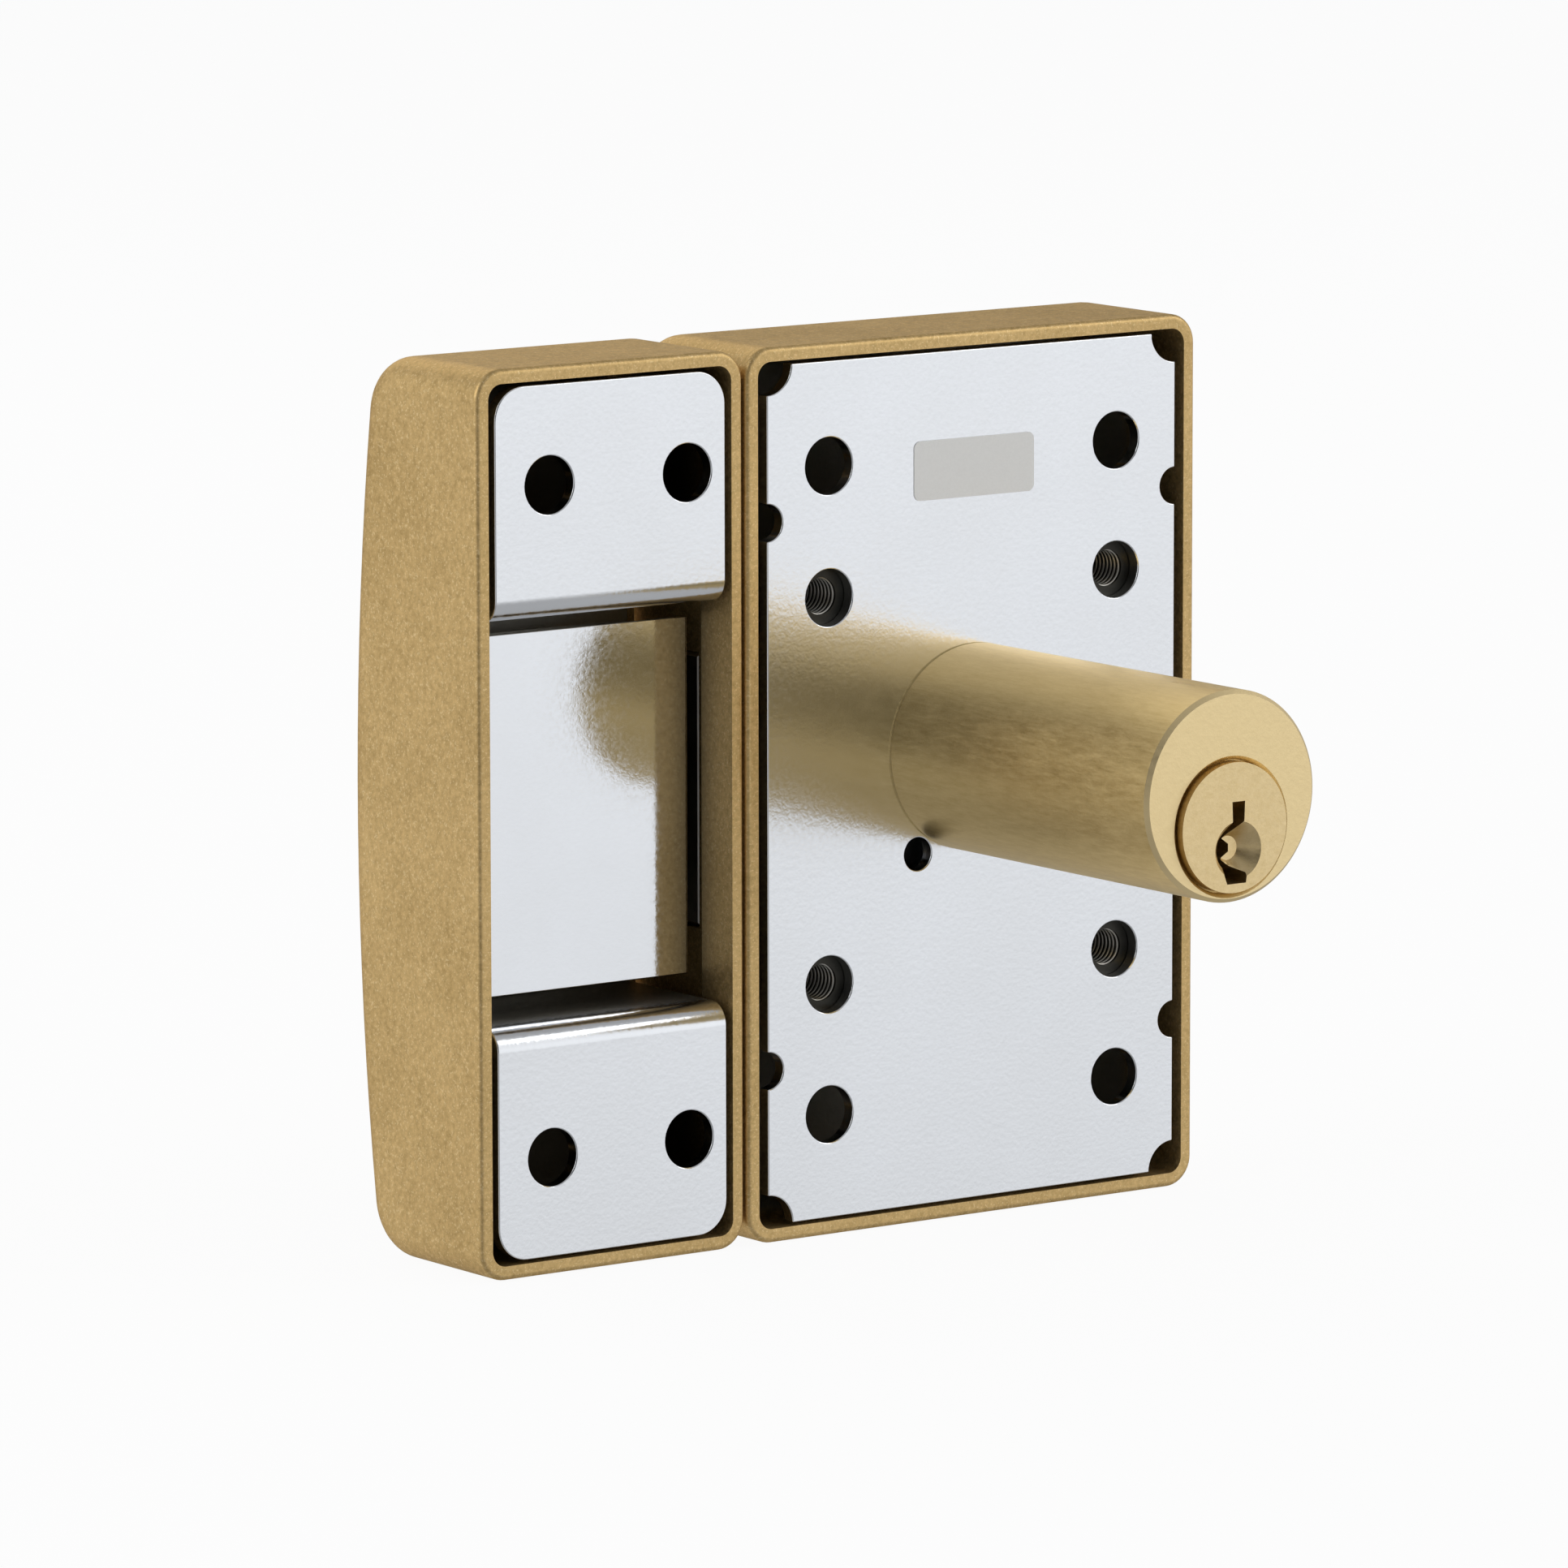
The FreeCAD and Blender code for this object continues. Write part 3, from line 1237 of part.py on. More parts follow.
# Strike bracket: two flanges on the frame, and a web across the back of the bolt's pocket
bracket = new_body("strike_bracket")
bracket_profile = sketch_on(bracket, "bracket_profile", "YZ_Plane", -d.bracket_left)
thick = d.bracket_thickness
pocket_z = d.bracket_pocket
wall_z = pocket_z + thick
deep = d.bracket_depth
flange_z = plate_z
outline(bracket_profile, [
    (0, flange_z), (0, pocket_z), (deep, pocket_z), (deep, -pocket_z), (0, -pocket_z),
    (0, -flange_z), (thick, -flange_z), (thick, -wall_z), (deep + thick, -wall_z),
    (deep + thick, wall_z), (thick, wall_z), (thick, flange_z)])
pad(bracket, bracket_profile, d.bracket_left - d.bracket_right)


def along_x_at(y, z):
    """Test for an edge that runs along X at a depth and at a height or its mirror image."""
    def test(extents):
        flat = near(extents.YMin, extents.YMax) and near(extents.ZMin, extents.ZMax)
        return flat and near(extents.YMin, y.value) and near(abs(extents.ZMin), z.value)
    return test


rounded(bracket, along_x_at(size_of(0), pocket_z), d.bracket_bend, "bracket_door_bend")
rounded(bracket, along_x_at(deep + thick, wall_z), d.bracket_bend, "bracket_web_bend")
rounded(bracket, along_x_at(deep, pocket_z), d.bracket_crease, "bracket_web_crease")
rounded(bracket, along_x_at(thick, wall_z), d.bracket_crease, "bracket_door_crease")
rounded(bracket, lambda extents: (near(extents.XMin, extents.XMax)
                                  and near(extents.ZMin, extents.ZMax)
                                  and near(abs(extents.ZMin), flange_z.value)),
        d.bracket_corner, "bracket_corner")
bracket_holes = sketch_on(bracket, "bracket_holes", "XZ_Plane")
for across in (d.strike_hole_first, d.strike_hole_second):
    for sign in (-1, 1):
        circle(bracket_holes, d.fixing_hole, -across, sign * d.strike_hole_height / 2)
pocket(bracket, bracket_holes, 3 * thick, both_ways=True)
web_holes = sketch_on(bracket, "bracket_screw_holes", "XZ_Plane", -deep)
for x, z in strike_spots:
    circle(web_holes, d.strike_screw + 2 * d.running_gap, x, z)
pocket(bracket, web_holes, 3 * thick, both_ways=True)
node("strike_bracket", bracket)

# Keeper: the bright plate in front of the bolt's pocket, folded back to the bracket's web
keeper = new_body("strike_keeper")
keeper_profile = sketch_on(keeper, "keeper_profile", "XY_Plane")
sheet_thick = d.keeper_thickness
keeper_front = d.keeper_depth
outline(keeper_profile, [
    (-d.keeper_left, keeper_front), (-d.bracket_right, keeper_front),
    (-d.bracket_right, keeper_front + sheet_thick),
    (-d.keeper_left + sheet_thick, keeper_front + sheet_thick),
    (-d.keeper_left + sheet_thick, deep), (-d.keeper_left, deep)])
pad(keeper, keeper_profile, d.keeper_height, both_ways=True)
rounded(keeper, lambda extents: (near(extents.XMax, -d.keeper_left.value)
                                 and near(extents.YMax, keeper_front.value)),
        d.bracket_bend, "keeper_bend")
node("strike_keeper", keeper)
node("strike_screws", group("strike_screws", [
    flat_screw("strike_screw_%d" % i, d.strike_screw_head, d.strike_screw, strike_face,
               deep + d.strike_screw_inset, spot) for i, spot in enumerate(strike_spots)]))


def check_and_write():
    """Stop on any failed object or bad solid, then write one file for each sub-part."""
    doc.recompute()
    for piece in doc.Objects:
        if "Invalid" in piece.State or "Error" in piece.State:
            raise RuntimeError("%s is %s" % (piece.Label, piece.State))
    for name, piece in parts.items():
        shape = piece.Shape
        if shape.isNull() or not shape.isValid() or not shape.Solids:
            raise RuntimeError(name + " has no valid solid")
    os.makedirs("parts", exist_ok=True)
    for name, piece in parts.items():
        shape = piece.Shape
        shape.exportStep(os.path.join("parts", name + ".step"))
        extents = shape.BoundBox
        print("%-22s solids %2d  volume %9.1f  x %7.2f %7.2f  y %7.2f %7.2f  z %7.2f %7.2f" % (
            name, len(shape.Solids), shape.Volume, extents.XMin, extents.XMax, extents.YMin,
            extents.YMax, extents.ZMin, extents.ZMax))


check_and_write()
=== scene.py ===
"""Looks of a rim deadbolt with its box strike, seen from the door side.

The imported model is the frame. Each sub-assembly is a class that holds its sizes, in metres, builds
its detail and gives each piece its finish.
"""
from __future__ import annotations

import json
import logging
import math
from dataclasses import dataclass, field
from enum import Enum
from typing import Any, Sequence

import bmesh
import bpy
from mathutils import Matrix, Vector

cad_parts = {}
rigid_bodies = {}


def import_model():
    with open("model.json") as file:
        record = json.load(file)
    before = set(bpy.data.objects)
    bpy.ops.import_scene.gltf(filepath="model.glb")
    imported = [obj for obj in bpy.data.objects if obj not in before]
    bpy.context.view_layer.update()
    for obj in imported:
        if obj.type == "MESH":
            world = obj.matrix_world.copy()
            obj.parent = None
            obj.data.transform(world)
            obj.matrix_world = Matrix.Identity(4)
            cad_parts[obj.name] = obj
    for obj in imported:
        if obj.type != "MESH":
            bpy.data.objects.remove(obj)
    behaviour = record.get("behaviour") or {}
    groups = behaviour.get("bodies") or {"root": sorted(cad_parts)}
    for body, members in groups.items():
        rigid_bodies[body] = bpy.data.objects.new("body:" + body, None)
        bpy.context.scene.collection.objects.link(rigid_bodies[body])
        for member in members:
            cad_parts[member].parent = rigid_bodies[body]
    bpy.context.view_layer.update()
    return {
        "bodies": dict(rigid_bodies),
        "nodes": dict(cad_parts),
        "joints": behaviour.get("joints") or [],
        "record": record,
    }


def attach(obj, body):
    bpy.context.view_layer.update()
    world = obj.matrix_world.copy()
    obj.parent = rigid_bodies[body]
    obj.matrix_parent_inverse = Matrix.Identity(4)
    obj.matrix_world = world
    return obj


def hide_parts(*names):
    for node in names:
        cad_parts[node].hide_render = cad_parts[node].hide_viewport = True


LOG = logging.getLogger("rim_deadbolt")
MM = 0.001
Colour = tuple[float, float, float]


def photo_colour(red: int, green: int, blue: int) -> Colour:
    """Turn a display colour into a linear one.

    Args:
        red, green, blue: the display values, 0 to 255.

    Returns:
        The linear colour, 0 to 1.
    """
    def linear(value: float) -> float:
        """One channel in linear light."""
        value /= 255.0
        return value / 12.92 if value <= 0.04045 else ((value + 0.055) / 1.055) ** 2.4

    return linear(red), linear(green), linear(blue)


class Signal:
    """A number that varies over a surface, with arithmetic that adds Math nodes."""

    def __init__(self, shader: Shader, socket: bpy.types.NodeSocket) -> None:
        """Keep the shader and the socket that gives the number."""
        self.shader = shader
        self.socket = socket

    def maths(self, operation: str, *values: Signal | float, clamp: bool = False) -> Signal:
        """Add one Math node.

        Args:
            operation: the node's operation.
            values: its inputs, in order.
            clamp: whether the result stays within 0 and 1.

        Returns:
            The result.
        """
        made = self.shader.node("ShaderNodeMath", {"operation": operation, "use_clamp": clamp},
                                dict(enumerate(values)))
        return Signal(self.shader, made.outputs[0])

    def __add__(self, other: Signal | float) -> Signal:
        """Sum."""
        return self.maths("ADD", self, other)

    def __sub__(self, other: Signal | float) -> Signal:
        """Difference."""
        return self.maths("SUBTRACT", self, other)

    def __rsub__(self, other: float) -> Signal:
        """Difference from a number."""
        return self.maths("SUBTRACT", other, self)

    def __mul__(self, other: Signal | float) -> Signal:
        """Product."""
        return self.maths("MULTIPLY", self, other)

    __radd__ = __add__
    __rmul__ = __mul__

    def root(self) -> Signal:
        """Square root."""
        return self.maths("SQRT", self)

    def size(self) -> Signal:
        """The number without its sign."""
        return self.maths("ABSOLUTE", self)

    def positive(self) -> Signal:
        """The number, or 0 where it is negative."""
        return self.maths("MAXIMUM", self, 0.0)

    def clamped(self) -> Signal:
        """The number kept within 0 and 1."""
        return self.maths("ADD", self, 0.0, clamp=True)

    def stepped(self, start: float, end: float) -> Signal:
        """A smooth step from 0 at start to 1 at end, where end may be the lower number."""
        flip = start > end
        made = self.shader.node(
            "ShaderNodeMapRange", {"interpolation_type": "SMOOTHSTEP"},
            {"Value": self, "From Min": min(start, end), "From Max": max(start, end),
             "To Min": float(flip), "To Max": float(not flip)})
        return Signal(self.shader, made.outputs["Result"])


class Shader:
    """A material's node tree, with one method that adds nodes and a few patterns."""

    def __init__(self, name: str) -> None:
        """Make an empty material of that name."""
        self.material = bpy.data.materials.new(name)
        self.material.use_nodes = True
        self.tree = self.material.node_tree
        self.tree.nodes.clear()
        self.place = self.node("ShaderNodeTexCoord").outputs["Object"]

    @classmethod
    def over(cls, tree: bpy.types.NodeTree) -> Shader:
        """Work on a node tree that exists, such as the world's, after clearing it."""
        made = cls.__new__(cls)
        made.tree = tree
        tree.nodes.clear()
        return made

    def node(self, kind: str, settings: dict[str, Any] | None = None,
             inputs: dict[int | str, Any] | None = None) -> bpy.types.Node:
        """Add a node.

        Args:
            kind: the node's type.
            settings: its properties, set before its sockets.
            inputs: values or links by socket name or number.

        Returns:
            The node.
        """
        made = self.tree.nodes.new(kind)
        for name, value in (settings or {}).items():
            if name == "stops":
                for position, colour in value[2:]:
                    made.color_ramp.elements.new(position)
                for element, (position, colour) in zip(made.color_ramp.elements, sorted(value)):
                    element.position = position
                    element.color = (*colour, 1.0)
            else:
                setattr(made, name, value)
        for name, value in (inputs or {}).items():
            socket = made.inputs[name]
            if isinstance(value, Signal):
                value = value.socket
            if isinstance(value, bpy.types.NodeSocket):
                self.tree.links.new(value, socket)
            elif isinstance(value, tuple) and socket.type == "RGBA":
                socket.default_value = (*value, 1.0)
            else:
                socket.default_value = value
        return made

    def stretched(self, x: float, y: float, z: float) -> bpy.types.NodeSocket:
        """Object coordinates, scaled along each axis."""
        made = self.node("ShaderNodeVectorMath", {"operation": "MULTIPLY"}, {0: self.place, 1: (x, y, z)})
        return made.outputs[0]

    def axes(self) -> tuple[Signal, Signal, Signal]:
        """The three Object coordinates as numbers, in metres."""
        made = self.node("ShaderNodeSeparateXYZ", {}, {0: self.place})
        return tuple(Signal(self, made.outputs[i]) for i in range(3))

    def vector(self, x: Signal | float, y: Signal | float, z: Signal | float) -> bpy.types.NodeSocket:
        """A vector of three numbers."""
        return self.node("ShaderNodeCombineXYZ", {}, {0: x, 1: y, 2: z}).outputs[0]

    def noise(self, scale: float, detail: float = 2.0, roughness: float = 0.5,
              where: bpy.types.NodeSocket | None = None) -> Signal:
        """Soft random pattern, mostly 0.3 to 0.7, with scale in waves per unit of its coordinates."""
        made = self.node("ShaderNodeTexNoise", {"noise_dimensions": "3D"},
                         {"Vector": where or self.place, "Scale": scale, "Detail": detail,
                          "Roughness": roughness})
        return Signal(self, made.outputs[0])

    def blend(self, share: Signal | float, first: Any, second: Any) -> bpy.types.NodeSocket:
        """A colour between two others."""
        made = self.node("ShaderNodeMix", {"data_type": "RGBA"}, {0: share, 6: first, 7: second})
        return made.outputs[2]

    def bump(self, height: Signal, depth: float, normal: Any = None) -> bpy.types.NodeSocket:
        """A surface relief of that depth in metres."""
        inputs = {"Height": height, "Distance": depth, "Strength": 1.0}
        if normal is not None:
            inputs["Normal"] = normal
        return self.node("ShaderNodeBump", {}, inputs).outputs[0]

    def finished(self, **surface: Any) -> bpy.types.Material:
        """Close the tree with a surface shader.

        Args:
            surface: inputs by name, with _ for each space.

        Returns:
            The material.
        """
        inputs = {name.replace("_", " "): value for name, value in surface.items()}
        body = self.node("ShaderNodeBsdfPrincipled", {}, inputs)
        self.node("ShaderNodeOutputMaterial", {}, {"Surface": body.outputs[0]})
        return self.material


@dataclass(frozen=True)
class MetallicPaint:
    """Sprayed gold paint with a grain of flakes and a slight peel, with painted shade in the hollow,
    where the colour turns with depth to a grey on the case, partly bare metal, and to near black on the
    strike.
    """

    name: str
    centre_x: float
    half_width: float
    half_height: float = 60.0 * MM
    depth: float = 31.0 * MM
    crown_radius: float = 380.0 * MM
    corner: float = 8.0 * MM
    wall: float = 1.9 * MM
    edge: float = 0.2 * MM
    # the inside colour and the depths over which it comes in: painted shade, which on the case is also a
    # grey for bare metal
    bare_and_shade: Colour = (0.50, 0.49, 0.45)
    shade_fade: tuple[float, float] = (8.0 * MM, 15.0 * MM)
    tone: Colour = (0.75, 0.53, 0.24)
    shade: Colour = (0.49, 0.33, 0.13)
    flake: Colour = (1.0, 0.80, 0.46)
    sheen: Colour = (0.86, 0.73, 0.56)
    grain_size: float = 0.85 * MM
    flake_size: float = 0.32 * MM

    def hollow(self, s: Shader) -> Signal:
        """A mask of the cover's inside that grows with the depth behind the rim, where shade is painted
        in.

        Args:
            s: the shader.

        Returns:
            The mask, 0 on the painted outside and 1 deep inside.
        """
        x, y, z = s.axes()
        crowned = y + z * z * (0.5 / self.crown_radius)
        aside = ((x - self.centre_x).size() - (self.half_width - self.corner)).positive()
        above = (z.size() - (self.half_height - self.corner)).positive()
        ahead = (crowned - (self.depth - self.corner)).positive()
        far = (aside * aside + above * above + ahead * ahead).root()
        skin = self.corner - 0.5 * self.wall
        return far.stepped(skin + self.edge, skin - self.edge) * y.stepped(*self.shade_fade)

    def material(self) -> bpy.types.Material:
        """Build the material: grain in two tones, bright flakes and a peeled surface."""
        s = Shader(self.name)
        grain = s.noise(1.0 / self.grain_size, 3.0, 0.8)
        cloud = s.noise(60.0, 3.0)
        colour = s.blend((grain * 2.6 + cloud * 0.8 - 1.2).clamped(), self.shade, self.tone)
        sparkle = s.noise(1.0 / self.flake_size, 1.0, 0.5).stepped(0.58, 0.70)
        colour = s.blend(sparkle * 0.40, colour, self.flake)
        # painted shade: deep inside the cover the colour turns to the plain inside colour
        colour = s.blend(self.hollow(s), colour, self.bare_and_shade)
        peel = s.noise(900.0, 2.0)
        relief = s.bump(grain * 0.6 + peel * 0.4, 0.05 * MM)
        return s.finished(Base_Color=colour, Metallic=0.85, Roughness=0.46 + (grain - 0.5) * 0.3,
                          Specular_Tint=self.sheen, Normal=relief)


@dataclass(frozen=True)
class PlatedSheet:
    """Bright zinc plating on rolled sheet, with painted shade, dark and rougher, where the sheet lies
    deep.
    """

    name: str = "zinc_plate"
    tone: Colour = (0.80, 0.815, 0.84)
    tint: Colour = (0.74, 0.75, 0.765)
    # painted shade colour for where the sheet lies deep
    painted_deep_shade: Colour = (0.40, 0.385, 0.34)
    roughness: float = 0.17
    spangle: float = 3.0 * MM
    pit: float = 0.70 * MM
    relief: float = 0.018 * MM
    # the depth past which shade is painted, and the span over which it comes in
    shade_depth: float | None = None
    shade_fade: float = 4.0 * MM

    def material(self) -> bpy.types.Material:
        """Build the material: plating clouds, fine pits, faint rolling lines and, past a given depth,
        painted shade.
        """
        s = Shader(self.name)
        cloud = s.noise(1.0 / (8 * self.spangle), 4.0, 0.6)
        pits = s.noise(1.0 / self.pit, 1.5, 0.6)
        rolled = s.noise(1.0, 3.0, 0.6, s.stretched(150.0, 150.0, 3500.0))
        colour = s.blend((cloud * 1.4 - 0.2).clamped(), self.tint, self.tone)
        rough = self.roughness + (cloud - 0.5) * 0.08 + (pits - 0.5) * 0.16
        # painted shade: beyond the given depth the colour turns dark and the surface rougher
        if self.shade_depth is not None:
            depth = s.axes()[1].stepped(self.shade_depth, self.shade_depth + self.shade_fade)
            colour = s.blend(depth, colour, self.painted_deep_shade)
            rough = rough + depth * 0.25
        relief = s.bump(pits * 0.9 + rolled * 0.1, self.relief)
        return s.finished(Base_Color=colour, Metallic=1.0, Roughness=rough, Normal=relief)


@dataclass(frozen=True)
class TurnedMetal:
    """Metal turned on a lathe about the key's axis or a parallel one, with fine tool rings."""

    name: str
    tone: Colour
    shade: Colour
    centre: tuple[float, float]
    roughness: float = 0.30
    ring: float = 0.10 * MM
    depth: float = 0.004 * MM
    # painted light: past end along Y the end face takes its own paler tone, set to how the lit face shows
    end: float | None = None
    end_light_tone: Colour = (0.86, 0.68, 0.37)

    def material(self) -> bpy.types.Material:
        """Build the material: tool rings, brushed streaks, a slight stain and painted light on the end
        face.
        """
        s = Shader(self.name)
        x, y, z = s.axes()
        across, up = x - self.centre[0], z - self.centre[1]
        radius = (across * across + up * up).root()
        lathe = s.noise(1.0, 3.0, 0.7, s.vector(radius * (1.0 / self.ring), y * (1.0 / self.ring), 0.0))
        streak = s.noise(1.0, 3.0, 0.7, s.stretched(1100.0, 120.0, 1100.0))
        stain = s.noise(1.0, 5.0, 0.8, s.stretched(1300.0, 240.0, 1300.0))
        colour = s.blend((stain * 2.6 + lathe * 0.8 - 1.2).clamped(), self.shade, self.tone)
        # painted light: the end face gets a paler tone in place of the turned colour
        if self.end is not None:
            colour = s.blend(y.stepped(self.end + 0.1 * MM, self.end), colour, self.end_light_tone)
        rough = self.roughness + (lathe - 0.5) * 0.25 + (stain - 0.5) * 0.25
        relief = s.bump(lathe, self.depth, s.bump(streak, 8.0 * self.depth))
        return s.finished(Base_Color=colour, Metallic=1.0, Roughness=rough, Normal=relief)


@dataclass(frozen=True)
class BrushedSteel:
    """Drawn or ground steel, with lines along one axis."""

    name: str
    tone: Colour
    shade: Colour
    lines: tuple[float, float, float] = (200.0, 4000.0, 4000.0)
    roughness: float = 0.32

    def material(self) -> bpy.types.Material:
        """Build the material: drawn lines and oily stains."""
        s = Shader(self.name)
        drawn = s.noise(1.0, 4.0, 0.65, s.stretched(*self.lines))
        stain = s.noise(150.0, 4.0, 0.6)
        colour = s.blend((stain * 1.6 - 0.3).clamped(), self.shade, self.tone)
        rough = self.roughness + (drawn - 0.5) * 0.25 + (stain - 0.5) * 0.12
        return s.finished(Base_Color=colour, Metallic=1.0, Roughness=rough,
                          Normal=s.bump(drawn, 0.006 * MM))


@dataclass(frozen=True)
class LabelFilm:
    """Grey printed film with a faint grain."""

    name: str = "label_film"
    tone: Colour = photo_colour(250, 250, 248)
    shade: Colour = photo_colour(236, 236, 234)

    def material(self) -> bpy.types.Material:
        """Build the material: satin film with a paper-like grain."""
        s = Shader(self.name)
        grain = s.noise(4000.0, 3.0, 0.7)
        colour = s.blend(grain, self.shade, self.tone)
        return s.finished(Base_Color=colour, Metallic=0.0, Roughness=0.45 + (grain - 0.5) * 0.2,
                          Normal=s.bump(grain, 0.01 * MM))


class Finish(Enum):
    """The finishes that the object's pieces take."""

    GOLD_CASE = MetallicPaint("gold_case", 0.0, 37.5 * MM)
    # the strike's near-black inside colour is painted shade in its deep recess
    GOLD_STRIKE = MetallicPaint("gold_strike", -59.25 * MM, 21.25 * MM, bare_and_shade=(0.09, 0.08, 0.06),
                                shade_fade=(1.0 * MM, 12.0 * MM))
    ZINC = PlatedSheet()
    ZINC_BRIGHT = PlatedSheet("zinc_bright", roughness=0.09, pit=0.5 * MM, relief=0.005 * MM)
    # painted shade in the strike bracket's pocket behind its flange
    ZINC_STRAP = PlatedSheet("zinc_strap", shade_depth=2.2 * MM)
    # end marks the outer cylinder's face, which takes a painted-light tone
    BRASS_BODY = TurnedMetal("brass_body", (1.0, 0.77, 0.37), (0.86, 0.62, 0.25),
                             (0.0, 4.0 * MM), 0.42, end=-55.1 * MM)
    BRASS_PLUG = TurnedMetal("brass_plug", (0.83, 0.65, 0.36), (0.69, 0.52, 0.26), (0.0, 0.0), 0.34)
    BOLT = BrushedSteel("bolt_steel", (0.60, 0.59, 0.57), (0.45, 0.44, 0.42),
                        (4000.0, 4000.0, 150.0))
    TOOL_STEEL = BrushedSteel("tool_steel", (0.50, 0.50, 0.51), (0.35, 0.35, 0.36))
    FASTENER = BrushedSteel("fastener_steel", (0.70, 0.69, 0.66), (0.55, 0.54, 0.51),
                            (2500.0, 300.0, 2500.0))
    # painted shade: near-black steel for the spacer posts, so the holes in front of them read as shaded
    DARK_STEEL = BrushedSteel("oxide_steel", (0.060, 0.058, 0.050), (0.032, 0.030, 0.026),
                              (2500.0, 300.0, 2500.0), 0.42)
    THREAD_STEEL = BrushedSteel("thread_steel", (0.55, 0.53, 0.48), (0.40, 0.38, 0.34),
                                (2500.0, 300.0, 2500.0), 0.36)
    LABEL = LabelFilm()

    def material(self) -> bpy.types.Material:
        """The finish's material, made once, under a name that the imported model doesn't use."""
        label = self.value.name + "_finish"
        if label not in bpy.data.materials:
            self.value.material().name = label
        return bpy.data.materials[label]


@dataclass
class SubAssembly:
    """A group of pieces of one kind, with the frame that they are built on."""

    frame: dict[str, Any]
    made: list[bpy.types.Object] = field(default_factory=list, init=False)

    def dress(self, finish: Finish, *names: str) -> None:
        """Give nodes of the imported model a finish.

        Args:
            finish: the finish.
            names: the nodes.
        """
        for name in names:
            node = self.frame["nodes"][name]
            for index in range(max(1, len(node.material_slots))):
                if not node.material_slots:
                    node.data.materials.append(finish.material())
                node.material_slots[index].material = finish.material()
            LOG.info("dressed %s in %s", name, finish.value.name)

    def refined(self, name: str, finish: Finish, body: str, slot: str, width: float = 0.15 * MM,
                angle: float = 32.0) -> bpy.types.Object:
        """Stand a copy with softened edges for a node.

        Args:
            name: the node.
            finish: its finish.
            body: the body that it rides on.
            slot: the record's slot for its finish; not used.
            width: the width of the softened edges.
            angle: edges that turn by more than this many degrees are softened.

        Returns:
            The new piece.
        """
        work = bmesh.new()
        work.from_mesh(self.frame["nodes"][name].data)
        bmesh.ops.remove_doubles(work, verts=work.verts, dist=0.002 * MM)
        bmesh.ops.dissolve_limit(work, angle_limit=math.radians(0.6), verts=work.verts,
                                 edges=work.edges)
        mesh = bpy.data.meshes.new(name + "_soft")
        work.to_mesh(mesh)
        work.free()
        piece = bpy.data.objects.new(name + "_edged", mesh)
        bpy.context.collection.objects.link(piece)
        bevel = piece.modifiers.new("soft_edges", "BEVEL")
        bevel.width = width
        bevel.segments = 2
        bevel.limit_method = "ANGLE"
        bevel.angle_limit = math.radians(angle)
        bevel.use_clamp_overlap = True
        mesh.polygons.foreach_set("use_smooth", [True] * len(mesh.polygons))
        mesh.set_sharp_from_angle(angle=math.radians(50.0))
        flat = piece.modifiers.new("flat_faces", "WEIGHTED_NORMAL")
        flat.keep_sharp = True
        self.settle(piece, finish)
        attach(piece, body)
        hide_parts(name)
        self.made.append(piece)
        LOG.info("refined %s: %d faces", name, len(piece.data.polygons))
        return piece

    def settle(self, piece: bpy.types.Object, finish: Finish) -> None:
        """Turn a piece's modifiers into plain mesh and give it its finish.

        Args:
            piece: the piece.
            finish: its finish.
        """
        graph = bpy.context.evaluated_depsgraph_get()
        mesh = bpy.data.meshes.new_from_object(piece.evaluated_get(graph), depsgraph=graph)
        piece.modifiers.clear()
        piece.data = mesh
        mesh.materials.clear()
        mesh.materials.append(finish.material())


